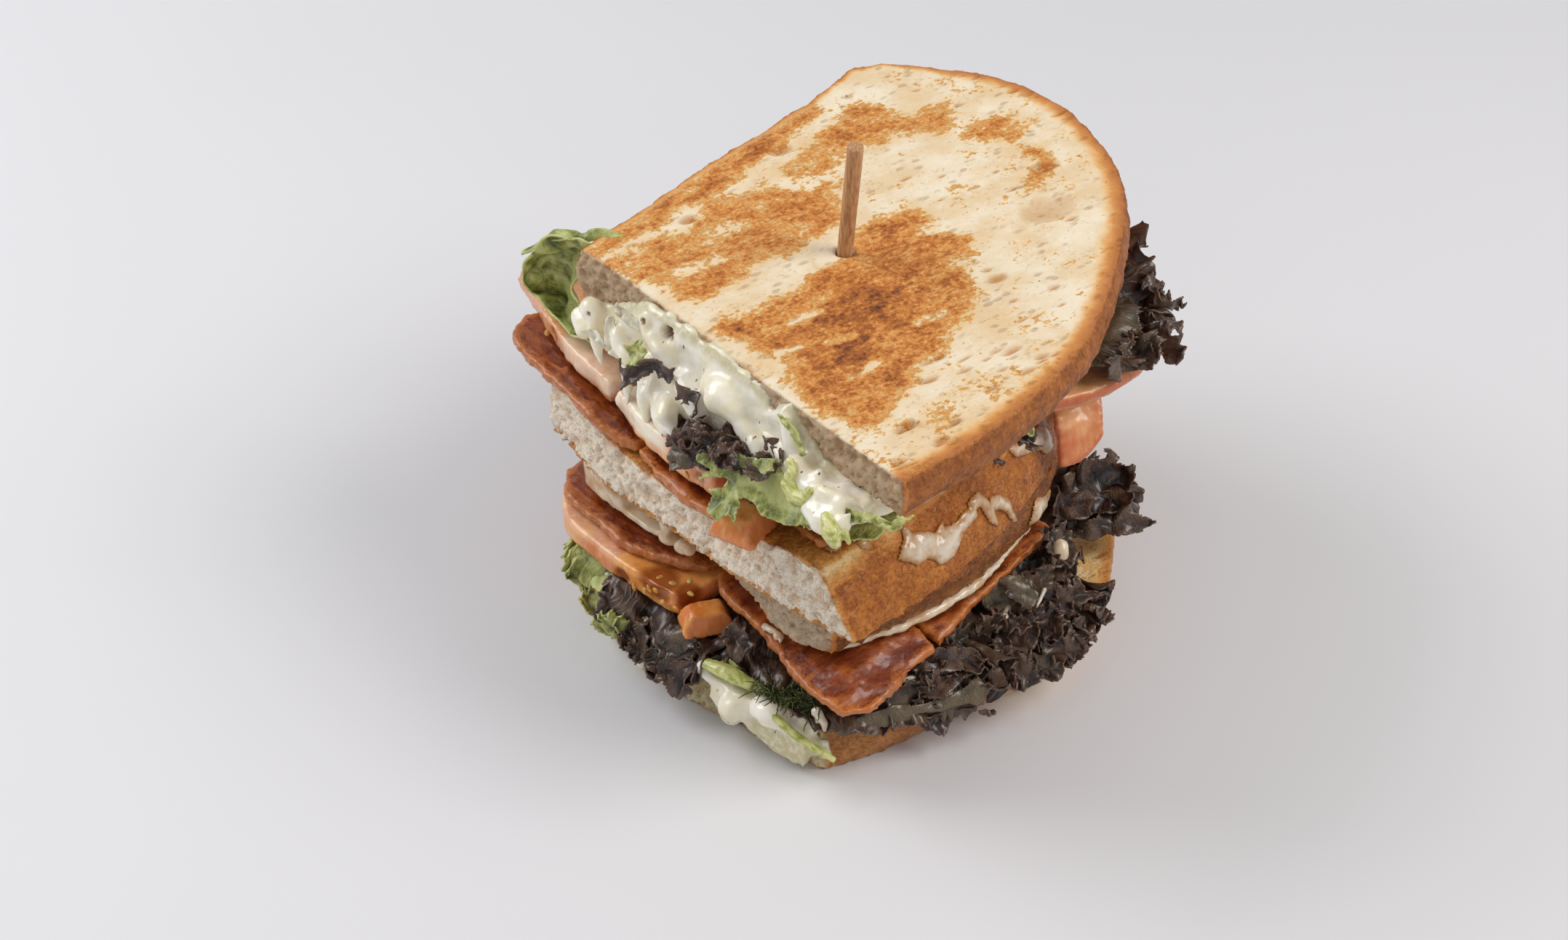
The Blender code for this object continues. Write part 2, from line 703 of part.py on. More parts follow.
def make_leaves(green, dark):
    sheet("upper_green_leaf", (
        [(-15, -5, 77), (-16, -3.5, 72.5), (-13, -2, 69.5), (-8, -2.5, 68.4), (-2, -3, 67.8)],
        [(6, -2, 67.8), (9, 4, 67.8)],
        [(12, 12, 67.9), (5, 9, 68.0), (-3.5, 6, 71), (-6, 4, 79)],
        [(-7, 2, 86.5), (-10, -2, 86), (-13, -4, 83)],
    ), green, (12, 9), LEAF_THICKNESS, 0.5, 2.0, None, under_dressing_side)
    sheet("upper_red_leaf", (
        [(20, -6, 67.6), (28, -7, 66.6), (36, -9.5, 65), (43, -12.5, 62.8), (49, -13.5, 62.6),
         (56, -11.5, 65), (64, -9.5, 66.4)],
        [(74, -7, 67.4), (75, 0, 68.6)],
        [(76, 12, 69.2), (50, 12, 68.2)],
        [(20, 12, 68.4), (20, -1, 68.2)],
    ), dark, (18, 6), LEAF_THICKNESS, 0.7, 5.0, upper_red_floor, under_dressing)
    sheet("upper_frilly_leaf", (
        [(47, -11, 63.6), (53, -13.5, 61), (58.5, -15.5, 59.4), (62, -14.5, 63),
         (66, -12.5, 65.8), (71, -14.5, 65.2), (77, -14, 64.4), (84, -10.5, 64.6),
         (93, -6.5, 66.5)],
        [(101, 2, 70.0), (97, 7, 68.8)],
        [(90, 14, 68.4), (70, 12, 66.9)],
        [(48, 10, 65.5), (47, -8, 65.4)],
    ), green, (16, 6), LEAF_THICKNESS, 0.4, 3.0, on_upper_tomato, between_upper_leaves(-0.5))
    sheet("upper_red_leaf_right", (
        [(87, 75, 70), (89.5, 84, 68), (86, 92, 68), (81, 99, 69.5), (73, 103, 73)],
        [(62, 110, 79), (60, 105, 74)],
        [(54, 96, 70.4), (62, 84, 70.4)],
        [(72, 70, 70.4), (80, 73, 70.2)],
    ), dark, (13, 6), LEAF_THICKNESS, 0.8, 3.0)
    sheet("lower_green_leaf", (
        [(5, -12.5, 16), (11, -14.8, 12), (17, -14.6, 9), (24, -15.6, 8)],
        [(32, -16.6, 9.5), (32, -16.2, 13.5), (32, -13, 15.3)],
        [(32, 8, 15.3), (18, 10, 15.3)],
        [(4, 12, 15.3), (4, -9, 15.4)],
    ), green, (12, 7), LEAF_THICKNESS, 0.5, 2.5, on_lower_floor(0.225))
    sheet("lower_red_leaf", (
        [(26, -18.5, 14.5), (32, -20, 12.5), (37, -19.5, 8.5), (43, -19.5, 6), (49, -19, 4.5),
         (54, -18, 6.5)],
        [(59, -16.5, 12), (59, -14.5, 15.8), (58, -9, 17.0)],
        [(56, 8, 17.3), (40, 9, 17.4)],
        [(26, 8, 17.4), (26, -14.5, 17.4)],
    ), dark, (13, 6), LEAF_THICKNESS, 0.8, 3.0, on_lower_floor(0.31), under_lower_tomato)
    sheet("lower_red_leaf_front", (
        [(83, -9.5, 15.6), (89.5, -6.5, 14.4), (95.5, 2, 13), (98, 11, 12), (100.5, 20, 10.2)],
        [(102.5, 28, 10.2), (101, 29, 12.6), (96, 30, 15.2)],
        [(72, 32, 16.0), (70, 16, 16.0)],
        [(72, -2, 16.0), (79, -7, 16.2)],
    ), dark, (13, 6), LEAF_THICKNESS, 0.7, 3.0, on_lower_floor(0.235), lower_leaf_parting(-0.6))
    sheet("lower_red_leaf_middle", (
        [(101, 31, 12.6), (103, 38, 11.8), (105, 46, 12.6), (105.5, 55, 13.6),
         (102.5, 63, 15)],
        [(98, 71, 17), (92, 70, 17.8)],
        [(70, 66, 17.8), (71, 50, 17.8)],
        [(74, 36, 17.8), (94, 33, 17.2)],
    ), dark, (13, 6), LEAF_THICKNESS, 1.0, 4.0, on_lower_floor(0.32), lower_leaf_parting(-0.6))
    sheet("lower_red_leaf_upper", (
        [(96, 18, 18.4), (100, 28, 18), (101, 38, 18), (98, 49, 19.6), (95, 60, 20.6)],
        [(86, 71, 22.6), (82, 71, 21.6)],
        [(68, 68, 20.6), (70, 44, 20.6)],
        [(74, 20, 20.4), (90, 18, 19.4)],
    ), dark, (13, 6), LEAF_THICKNESS, 0.8, 4.0, lower_leaf_parting(0.6), bacon_shadow)
    sheet("lower_red_leaf_fan", (
        [(81, 80, 16.5), (87, 90, 17), (87, 95, 21), (81, 97, 25), (75, 95, 29)],
        [(70, 88, 29), (66, 84, 25.5)],
        [(59, 80, 21.5), (61, 75, 21.5)],
        [(66, 72, 20.6), (75, 76, 18)],
    ), dark, (13, 6), LEAF_THICKNESS, 0.6, 2.5)


def make_lettuce_beds(dark):
    """The packed leaves that carry on through the rest of each half, behind the others."""
    def crumpled(height, rise):
        return lambda x, y: (
            height(x, y) + rise + 0.4 * math.sin(x / 3.7 + y / 11.0) * math.sin(y / 5.3)
        )

    edges = (
        [(-7, 17), (30, 18), (62, 18)],
        [(94, 20), (92, 44)],
        [(83, 60), (64, 74), (52, 92), (30, 104), (6, 106)],
        [(-16, 94), (-12, 74), (-14, 56), (-9, 40)],
    )
    upper = slab("upper_lettuce", edges, edges, crumpled(upper_level(0.5), 0.7),
                 crumpled(upper_level(0.68), -0.7), dark, (9, 8), rings=0)
    edges = (
        [(-8, 17), (20, 16), (44, 16)],
        [(66, 17), (66, 42)],
        [(58, 72), (52, 92), (28, 104), (6, 107)],
        [(-16, 94), (-13, 70), (-12, 50), (-6, 34)],
    )
    lower = slab("lower_lettuce", edges, edges, crumpled(lower_level(0.18), 0.6),
                 crumpled(lower_level(0.38), -0.7), dark, (9, 8), rings=0)
    return [upper, lower]


def make_stems(stem):
    strand("lower_stem", stem, [(59.5, -14.0, 16.9), (65, -12.6, 17.4), (72, -10.6, 16.9)], 2.1)
    strand("lower_stem_long", stem, [(78, -11.8, 15.4), (86, -10.8, 13.0), (94.5, -6.4, 8.8)], 1.2)


def main():
    clear_scene()
    make_collection(COLLECTION)
    make_collection(CUTTERS)
    crumb = make_material("toasted_bread", CRUMB, 0.85)
    sauce = make_material("dressing", DRESSING, 0.25)
    flesh = make_material("tomato", TOMATO, 0.35)
    wood = make_material("pick_wood", WOOD, 0.6)
    crossed = make_bread(crumb) + make_dressing(sauce)
    crossed += make_tomato(flesh) + make_bacon(make_material("bacon", BACON, 0.35))
    dark = make_material("red_leaf", DARK_LEAF, 0.45)
    make_leaves(make_material("green_leaf", GREEN, 0.5), dark)
    crossed += make_lettuce_beds(dark)
    make_stems(make_material("stem", STEM, 0.4))

    lean = (PICK_ENTRY - PICK_TOP) / (PICK_TOP.z - PICK_ENTRY.z)
    tip = PICK_ENTRY + lean * (TOP_SLICE_TOP - PICK_TIP_HEIGHT)
    rod("pick", tip, PICK_TOP, PICK_RADIUS, PICK_SIDES, COLLECTION, wood)
    cutter = rod("pick_cutter", tip + lean * GAP, PICK_TOP - lean * 5.0,
                 PICK_HOLE_RADIUS, HOLE_SIDES, CUTTERS)
    cutter.hide_render = True
    cutter.display_type = "WIRE"
    for item in crossed:
        drill(item, cutter)


main()
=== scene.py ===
import math
import random

import bmesh
import bpy
import numpy as np
from mathutils import Matrix, Vector, kdtree, noise
from mathutils.bvhtree import BVHTree


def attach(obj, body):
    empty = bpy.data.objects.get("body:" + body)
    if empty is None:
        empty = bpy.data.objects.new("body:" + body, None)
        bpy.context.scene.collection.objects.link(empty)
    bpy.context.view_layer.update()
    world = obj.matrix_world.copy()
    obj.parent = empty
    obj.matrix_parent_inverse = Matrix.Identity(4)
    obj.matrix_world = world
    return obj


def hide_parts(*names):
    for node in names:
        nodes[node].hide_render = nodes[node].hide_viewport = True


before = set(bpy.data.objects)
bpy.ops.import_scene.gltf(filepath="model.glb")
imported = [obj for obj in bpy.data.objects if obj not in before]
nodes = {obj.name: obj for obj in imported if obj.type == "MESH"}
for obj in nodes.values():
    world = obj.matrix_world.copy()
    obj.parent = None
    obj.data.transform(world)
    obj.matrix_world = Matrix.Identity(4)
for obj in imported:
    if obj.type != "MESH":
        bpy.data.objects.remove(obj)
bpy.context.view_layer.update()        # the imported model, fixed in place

mm = 0.001
planOrigin = np.array([47.0, 42.0, 0.0])   # places below are in mm from the top slice's front left corner
up = Vector((0, 0, 1))
random.seed(11)
noise.seed_set(11)                         # else the folds of the leaves change from run to run


# moving between meshes and arrays of places in mm

def pointsOf(piece):
    flat = np.empty(len(piece.data.vertices) * 3)
    piece.data.vertices.foreach_get("co", flat)
    return flat.reshape(-1, 3) / mm + planOrigin


def normalsOf(piece):
    flat = np.empty(len(piece.data.vertices) * 3)
    piece.data.vertices.foreach_get("normal", flat)
    return flat.reshape(-1, 3)


def movePoints(piece, points):
    piece.data.vertices.foreach_set("co", ((points - planOrigin) * mm).ravel())
    piece.data.update()


def paint(piece, name, values):            # a mask that the piece's material reads
    layer = piece.data.attributes.new(name, "FLOAT", "POINT")
    layer.data.foreach_set("value", np.asarray(values, np.float32))


def ridges(piece, rounds):                 # mm over the smoothed form: ridges above 0, hollows below
    points, normals = pointsOf(piece), normalsOf(piece)
    ends = np.empty(len(piece.data.edges) * 2, np.int32)
    piece.data.edges.foreach_get("vertices", ends)
    first, second = ends.reshape(-1, 2).T
    count = len(points)
    share = 0.6 / np.maximum(np.bincount(ends, minlength=count), 1)
    smooth = points.copy()
    for _ in range(rounds):
        for k in range(3):
            flat = smooth[:, k]
            around = np.bincount(first, flat[second], count) + np.bincount(second, flat[first], count)
            smooth[:, k] = 0.4 * flat + share * around
    return ((points - smooth) * normals).sum(1)


def ease(start, end, values):
    t = np.clip((values - start) / (end - start), 0, 1)
    return t * t * (3 - 2 * t)


def bumps(points, size, seed=0.0, octaves=2):
    places = points / size + seed
    return np.array([noise.fractal(Vector(p), 0.6, 2.0, octaves) for p in places])


def between(rows, values):                 # reads a table of (position, height) pairs
    rows = np.array(rows, float)
    return np.interp(values, rows[:, 0], rows[:, 1])


def strokeField(points, strokes):          # soft brush strokes: x, y to x, y, radius, weight
    field = np.zeros(len(points))
    for x0, y0, x1, y1, radius, weight in strokes:
        start, run = np.array([x0, y0]), np.array([x1 - x0, y1 - y0])
        share = np.clip((points[:, :2] - start) @ run / max(run @ run, 1e-6), 0, 1)
        away = np.linalg.norm(points[:, :2] - start - share[:, None] * run, axis=1)
        field = np.maximum(field, weight * (1 - ease(0.45 * radius, 1.35 * radius, away)))
    return field


def reachInside(places, outline):          # how far inside a closed outline each flat place is
    start = np.array(outline, float)
    run = np.roll(start, -1, axis=0) - start
    lengths = np.linalg.norm(run, axis=1)
    walked = np.concatenate([[0], np.cumsum(lengths)[:-1]])
    offset = places[:, None, :] - start
    share = np.clip((offset * run).sum(2) / np.maximum(lengths ** 2, 1e-9), 0, 1)
    nearest = start + share[..., None] * run
    away = np.linalg.norm(places[:, None, :] - nearest, axis=2)
    best = away.argmin(1)
    each = np.arange(len(places))
    x, y = places[:, :1], places[:, 1:]
    endY = start[:, 1] + run[:, 1]
    straddles = (start[:, 1] > y) != (endY > y)
    slope = run[:, 0] / np.where(np.abs(run[:, 1]) < 1e-9, 1e-9, run[:, 1])
    crossings = straddles & (x < slope * (y - start[:, 1]) + start[:, 0])
    sign = np.where(crossings.sum(1) % 2 == 1, 1.0, -1.0)
    return sign * away[each, best], nearest[each, best], walked[best] + share[each, best] * lengths[best]


def patchField(points, patchList, soft=4.0):   # soft-edged areas: (weight, x,y pairs)
    field = np.zeros(len(points))
    for weight, outline in patchList:
        reach = reachInside(points[:, :2], np.reshape(outline, (-1, 2)))[0]
        field = np.maximum(field, weight * ease(-soft, 0.6 * soft, reach))
    return field


# making pieces

def newPiece(name, shape):                 # shape is a bmesh in metres
    mesh = bpy.data.meshes.new(name)
    shape.to_mesh(mesh)
    shape.free()
    piece = bpy.data.objects.new(name, mesh)
    bpy.context.scene.collection.objects.link(piece)
    return piece


def shapeOf(nodeNames):
    shape = bmesh.new()
    for nodeName in nodeNames:
        shape.from_mesh(nodes[nodeName].data)
    bmesh.ops.remove_doubles(shape, verts=shape.verts[:], dist=1e-6)
    return shape


def applyAll(piece):
    graph = bpy.context.evaluated_depsgraph_get()
    mesh = bpy.data.meshes.new_from_object(piece.evaluated_get(graph))
    old = piece.data
    piece.modifiers.clear()
    piece.data = mesh
    bpy.data.meshes.remove(old)


def moulded(name, shape, voxel, smoothing):    # an evenly fine skin, with its places and normals
    piece = newPiece(name, shape)
    block = piece.modifiers.new("remesh", "REMESH")
    block.mode = "VOXEL"
    block.voxel_size = voxel * mm
    soft = piece.modifiers.new("soften", "SMOOTH")
    soft.factor = 0.5
    soft.iterations = smoothing
    applyAll(piece)
    return piece, pointsOf(piece), normalsOf(piece)


def settle(piece, material, slot, *replaced):
    piece.data.materials.clear()
    piece.data.materials.append(material)
    piece.data.shade_smooth()
    for spot in material.node_tree.nodes:      # masks that this piece leaves empty
        if spot.type == "ATTRIBUTE" and spot.attribute_name not in piece.data.attributes:
            paint(piece, spot.attribute_name, np.zeros(len(piece.data.vertices)))
    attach(piece, "root")
    if replaced:
        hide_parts(*replaced)


def treeOf(points, chosen):                # for finding the nearest of the chosen points
    tree = kdtree.KDTree(len(chosen))
    for i in chosen:
        tree.insert(Vector(points[i]), int(i))
    tree.balance()
    return tree


def pressPits(points, normals, pits):
    # each pit is (centre, radius, stretch along y, depth); returns how deep in a pit a point is, weighted
    # up for small pits, for painted shade in the pits
    tree = treeOf(points, range(len(points)))
    hollowShade = np.zeros(len(points))
    drop = np.zeros(len(points))
    for centre, radius, stretch, depth in pits:
        centre = Vector(centre)
        near = tree.find_range(centre, radius * max(stretch, 1.0))
        for place, i, _ in near:
            away = place - centre
            away.y /= stretch
            share = away.length / radius
            if share < 1:
                dip = 1 - share ** 3
                drop[i] = max(drop[i], depth * dip)
                hollowShade[i] = max(hollowShade[i], dip * min(1.0, 2.6 / radius))
    points -= normals * drop[:, None]
    return hollowShade


# material helpers

def linear(r, g, b):                       # a screen colour from 0 to 255 as a shader colour
    def one(c):
        c /= 255
        return c / 12.92 if c < 0.04045 else ((c + 0.055) / 1.055) ** 2.4
    return (one(r), one(g), one(b), 1.0)


def addNode(tree, kind, sockets=None, **settings):
    made = tree.nodes.new("ShaderNode" + kind)
    for key, value in settings.items():
        setattr(made, key, value)
    for key, value in (sockets or {}).items():
        if isinstance(value, bpy.types.NodeSocket):
            tree.links.new(value, made.inputs[key])
        else:
            made.inputs[key].default_value = value
    return made


def blendColours(tree, factor, first, second, mode="MIX"):
    tints = [linear(*tint) if isinstance(tint, tuple) else tint for tint in (first, second)]
    made = addNode(tree, "Mix", {0: factor, 6: tints[0], 7: tints[1]}, data_type="RGBA", blend_type=mode)
    return made.outputs[2]


def layers(tree, colour, *coats):          # each coat is (share, tint), laid over the ones before
    for share, tint in coats:
        colour = blendColours(tree, share, colour, tint)
    return colour


def maths(tree, operation, first, second):
    return addNode(tree, "Math", {0: first, 1: second}, operation=operation).outputs[0]


def times(tree, first, second):
    return maths(tree, "MULTIPLY", first, second)


def plus(tree, first, second):
    return maths(tree, "ADD", first, second)


def sway(tree, value, reach):              # turns a 0 to 1 noise into a swing about 0
    return times(tree, maths(tree, "SUBTRACT", value, 0.5), reach)


def spread(tree, value, low, high, newLow=0.0, newHigh=1.0):
    sockets = {"Value": value, "From Min": low, "From Max": high, "To Min": newLow, "To Max": newHigh}
    made = addNode(tree, "MapRange", sockets, interpolation_type="SMOOTHSTEP")
    return made.outputs[0]


def ramp(tree, factor, stops):
    made = addNode(tree, "ValToRGB", {"Fac": factor})
    marks = made.color_ramp.elements
    while len(marks) < len(stops):
        marks.new(0.5)
    for mark, (place, colour) in zip(marks, stops):
        mark.position = place
        mark.color = linear(*colour)
    return made.outputs[0]


def mask(tree, name):
    return addNode(tree, "Attribute", attribute_name=name).outputs["Fac"]


def millimetres(tree, stretch=(1, 1, 1)):
    place = addNode(tree, "TexCoord").outputs["Object"]
    return addNode(tree, "Mapping", {"Vector": place, "Scale": tuple(s / mm for s in stretch)}).outputs[0]


def noiseOn(tree, vector, size, detail=4.0, rough=0.55):
    sockets = {"Vector": vector, "Scale": 1 / size, "Detail": detail, "Roughness": rough}
    return addNode(tree, "TexNoise", sockets).outputs["Fac"]


def startMaterial(name, **sockets):
    material = bpy.data.materials.new(name)
    material.use_nodes = True
    shader = material.node_tree.nodes["Principled BSDF"]
    for key, value in sockets.items():
        shader.inputs[key.replace("_", " ")].default_value = value
    return material, material.node_tree


def finish(material, colour, gloss, normal=None):
    tree = material.node_tree
    for key, value in (("Base Color", colour), ("Roughness", gloss), ("Normal", normal)):
        if value is not None:
            tree.links.new(value, tree.nodes["Principled BSDF"].inputs[key])
    return material


def relief(tree, height, distance, strength=1.0):
    sockets = {"Height": height, "Distance": distance * mm, "Strength": strength}
    return addNode(tree, "Bump", sockets).outputs[0]


def startGroup(name, inputs, outputs):
    group = bpy.data.node_groups.new(name, "ShaderNodeTree")
    group.interface.new_socket("Vector", in_out="INPUT", socket_type="NodeSocketVector")
    for label, value in inputs.items():
        socket = group.interface.new_socket(label, in_out="INPUT", socket_type="NodeSocketFloat")
        socket.default_value = value
    for label in outputs:
        group.interface.new_socket(label, in_out="OUTPUT", socket_type="NodeSocketFloat")
    return group, group.nodes.new("NodeGroupInput"), group.nodes.new("NodeGroupOutput")


def useGroup(tree, group, sockets):
    return addNode(tree, "Group", sockets, node_tree=group).outputs


def crumbGroup():                          # fine open holes of bread, used on every slice
    group, start, end = startGroup("breadHoles", {"Size": 1.6, "Share": 0.36}, ("Height", "HollowShade"))
    where, size, share = start.outputs[:3]
    warp = addNode(group, "TexNoise", {"Vector": where, "Scale": 0.7, "Detail": 2.0}).outputs["Color"]
    bent = addNode(group, "MixRGB", {0: 0.35, 1: where, 2: warp}, blend_type="LINEAR_LIGHT").outputs[0]
    big = addNode(group, "TexVoronoi", {"Vector": bent, "Scale": maths(group, "DIVIDE", 1.0, size)})
    small = addNode(group, "TexVoronoi", {"Vector": bent, "Scale": maths(group, "DIVIDE", 2.7, size)})
    bigHole = spread(group, big.outputs["Distance"], times(group, share, 0.35), share, 1, 0)
    smallHole = spread(group, small.outputs["Distance"], 0.08, share, 1, 0)
    pick = spread(group, noiseOn(group, where, 3.1, 1.0), 0.42, 0.6)
    bigHole = times(group, bigHole, pick)
    smallPick = spread(group, noiseOn(group, where, 1.9, 2.0), 0.45, 0.62)
    smallHole = times(group, smallHole, smallPick)
    # the holes' depth, sinking them in the bump and darkening them as painted shade
    hollowShade = maths(group, "MAXIMUM", bigHole, times(group, smallHole, 0.45))
    fine = noiseOn(group, where, 0.5, 3.0)
    height = maths(group, "SUBTRACT", times(group, fine, 0.35), hollowShade)
    group.links.new(height, end.inputs["Height"])
    group.links.new(hollowShade, end.inputs["HollowShade"])
    return group


def patchGroup():                          # ragged patches: browning, fat, stains
    group, start, end = startGroup(
        "raggedPatches", {"Field": 0.5, "Size": 5.0, "Low": 0.45, "High": 0.6}, ("Mask", "Depth"))
    where, field, size, low, high = start.outputs[:5]
    total = field
    for scale, detail, rough, reach in ((maths(group, "DIVIDE", 1.0, size), 8.0, 0.68, 2.1),
                                        (maths(group, "DIVIDE", 4.5, size), 4.0, 0.6, 1.3),
                                        (1.3, 3.0, 0.5, 0.8)):
        sockets = {"Vector": where, "Scale": scale, "Detail": detail, "Roughness": rough}
        grain = addNode(group, "TexNoise", sockets).outputs["Fac"]
        total = plus(group, total, sway(group, grain, reach))
    group.links.new(spread(group, total, low, high), end.inputs["Mask"])
    group.links.new(total, end.inputs["Depth"])
    return group


holes = crumbGroup()
patches = patchGroup()


def patchesOn(tree, vector, field, size, low, high):
    sockets = {"Vector": vector, "Field": field, "Size": size, "Low": low, "High": high}
    return useGroup(tree, patches, sockets)


# bread

def breadMaterial(look):
    material, tree = startMaterial(look["name"], IOR=1.4, Subsurface_Weight=0.08, Subsurface_Scale=0.004)
    where, slits = millimetres(tree), millimetres(tree, (1, 0.4, 1))
    streaky = millimetres(tree, (1, 0.62, 1))
    toast, rim, wall, cut, hollowShade = [mask(tree, m) for m in ("toast", "rim", "wall", "cut", "hollowShade")]
    crumb = useGroup(tree, holes, {"Vector": slits, "Size": look["holeSize"], "Share": 0.36})
    brown = patchesOn(tree, streaky, toast, look["patchSize"], 0.42, 0.62)
    grit = sway(tree, noiseOn(tree, where, 0.8, 3.0, 0.7), 1.1)
    browned = ramp(tree, spread(tree, plus(tree, brown["Depth"], grit), 0.1, 1.75), look["faceStops"])
    dust = spread(tree, noiseOn(tree, streaky, 10.0, 6.0, 0.65), 0.34, 0.66)
    # the rim browns over the last few millimetres before the crust
    width = look["rimWidth"]
    rimDepth = plus(tree, rim, sway(tree, noiseOn(tree, where, 3.5, 6.0), 3.4))
    rimShare = times(tree, spread(tree, rimDepth, 0.4 * width, width, 1, 0), look["rimAmount"])
    face = layers(
        tree, blendColours(tree, dust, look["paleA"], look["paleB"]),
        (times(tree, spread(tree, toast, 0.1, 0.7), 0.35), look["washTint"]),
        (spread(tree, brown["Depth"], 0.32, 0.42), browned),
        (rimShare, ramp(tree, spread(tree, rimDepth, 0, width), look["rimStops"])))
    # crust on the outer wall
    crustPatch = patchesOn(tree, where, plus(tree, wall, -0.35), look["crustPatch"], 0.2, 0.9)
    crust = ramp(tree, spread(tree, crustPatch["Depth"], -1.2, 1.8), look["crustStops"])
    # crumb where the knife went through, toasted a little along its edges
    grain = noiseOn(tree, where, 2.4, 5.0, 0.6)
    edge = patchesOn(tree, where, mask(tree, "edge"), 3.0, 0.42, 0.66)
    crumbTint = layers(tree, blendColours(tree, grain, look["crumbA"], look["crumbB"]),
                       (edge["Mask"], look["edgeTint"]))
    colour = layers(tree, face, (spread(tree, wall, 0.25, 0.7), crust), (cut, crumbTint))
    # painted shade in the holes of the crumb: stronger on the cut, weaker on the crust and in brown
    # patches, multiplied by the hole colour
    shade = spread(tree, cut, 0, 1, look["faceShade"], look["cutShade"])
    dark = times(tree, times(tree, crumb["HollowShade"], shade), spread(tree, wall, 0.3, 0.7, 1, 0.2))
    dark = times(tree, dark, spread(tree, brown["Mask"], 0, 1, 1, 0.35))
    colour = blendColours(tree, dark, colour, look["holeShadeTint"], "MULTIPLY")
    # painted shade in the pressed pits, weaker on the cut
    pitShade = times(tree, hollowShade, spread(tree, cut, 0, 1, 0.9, 0.5))
    colour = blendColours(tree, pitShade, colour, (206, 160, 104), "MULTIPLY")
    # black crumbs from the griddle
    specks = addNode(tree, "TexVoronoi", {"Vector": where, "Scale": 0.19})
    chance = addNode(tree, "SeparateColor", {"Color": specks.outputs["Color"]}).outputs[0]
    speck = times(tree, spread(tree, specks.outputs["Distance"], 0.03, 0.05, 1, 0),
                  spread(tree, chance, 0.8, 0.82))
    colour = layers(tree, colour, (times(tree, speck, look["specks"]), (70, 44, 30)))
    gloss = spread(tree, brown["Mask"], 0, 1, look["rough"], look["rough"] - 0.18)
    gloss = maths(tree, "SUBTRACT", gloss, times(tree, wall, look["crustGloss"]))
    height = times(tree, crumb["Height"], spread(tree, wall, 0.3, 0.8, 1, 0.25))
    height = plus(tree, height, times(tree, noiseOn(tree, where, 1.7, 6.0, 0.65), 0.7))
    height = plus(tree, height, times(tree, brown["Mask"], 0.5))
    return finish(material, colour, gloss, relief(tree, height, 0.5, 0.75))


def makeBread(look):
    piece, points, normals = moulded(look["piece"], shapeOf([look["node"]]), look["voxel"],
                                     look["smoothing"])
    x, y, z = points.T
    front = between(look["front"], x)      # where the knife went, for each x
    low, high = z.min(), z.max()
    cut = ease(1.5, 0.7, y - front) * ease(-0.2, -0.6, normals[:, 1])
    pickX, pickY, pickReach = look["pickHole"]
    clear = np.hypot(x - pickX, y - pickY) > pickReach
    wall = (np.abs(normals[:, 2]) < 0.55) & (y - front > 1.3) & clear
    crust = treeOf(points, np.flatnonzero(wall))
    rim = np.array([min(crust.find(Vector(p))[2], look["deepest"]) for p in points])   # mm from the crust
    soft = ease(1.4, 0.0, rim) * (1 - cut)
    faces = np.abs(normals[:, 2]) > 0.6
    toast = patchField(points, look["toast"]) - strokeField(points, look["bare"])
    toast = np.where(faces, toast + look["allOver"], look["allOver"])
    swell = look["waves"] * bumps(points, 11.0, 3.0) * (1 - cut) * ease(0, 3, z - low)
    points += normals * swell[:, None]
    crackle = soft * (0.32 * bumps(points, 3.2, 9.0, 3) + 0.12 * bumps(points, 1.3, 2.0, 1))
    tear = cut * (0.45 * bumps(points, 3.0, 5.0, 3) + 0.4 * bumps(points, 1.3, 8.0, 2) - 0.12)
    flaky = soft * ease(2.6, 0.2, z - low) * look["flakes"]
    points += normals * (crackle + tear)[:, None]
    points[:, 2] -= flaky * np.clip(bumps(points, 2.6, 4.0, 3), 0, 1)
    # open holes in the cut and on the faces
    pits = []
    cutPlaces = np.flatnonzero(cut > 0.6)
    for i in random.choices(list(cutPlaces), k=look["cutPits"]):
        radius = random.uniform(0.5, 0.9) * (2.0 if random.random() < 0.12 else 1.0)
        pits.append((points[i], radius, 1.0, 0.6 * radius))
    facePlaces = np.flatnonzero(faces & (normals[:, 2] > 0) & (toast < 0.7) & (rim > 2.0))
    for i in random.choices(list(facePlaces), k=look["facePits"]):
        right = ease(60, 95, points[i][0])
        if random.random() > 0.2 + 0.4 * right:
            continue
        radius = random.uniform(0.45, 0.7) * (1 + 0.15 * right) * (1.2 if random.random() < 0.1 else 1.0)
        pits.append((points[i], radius, random.uniform(2.0, 4.2), 0.8 * radius))
    for place, radius, stretch, depth in look["namedPits"]:
        pits.append(((*place, high), radius, stretch, depth))
    hollowShade = pressPits(points, normals, pits)
    movePoints(piece, points)
    paint(piece, "toast", toast)
    paint(piece, "rim", rim * (1 + look["thinLeftRim"] * ease(30, -5, x + 0.25 * y)))
    paint(piece, "wall", soft)
    paint(piece, "cut", cut)
    # how deep each point sits in a pit, for the painted shade
    paint(piece, "hollowShade", hollowShade)
    nearFace = np.minimum(high - z, z - low + look["lowEdgeShift"])
    paint(piece, "edge", look["edgeToast"] * ease(2.6, 0.3, nearFace))
    settle(piece, breadMaterial(look), "toasted_bread", look["node"])
    print("bread", look["piece"], len(piece.data.vertices))
    return piece


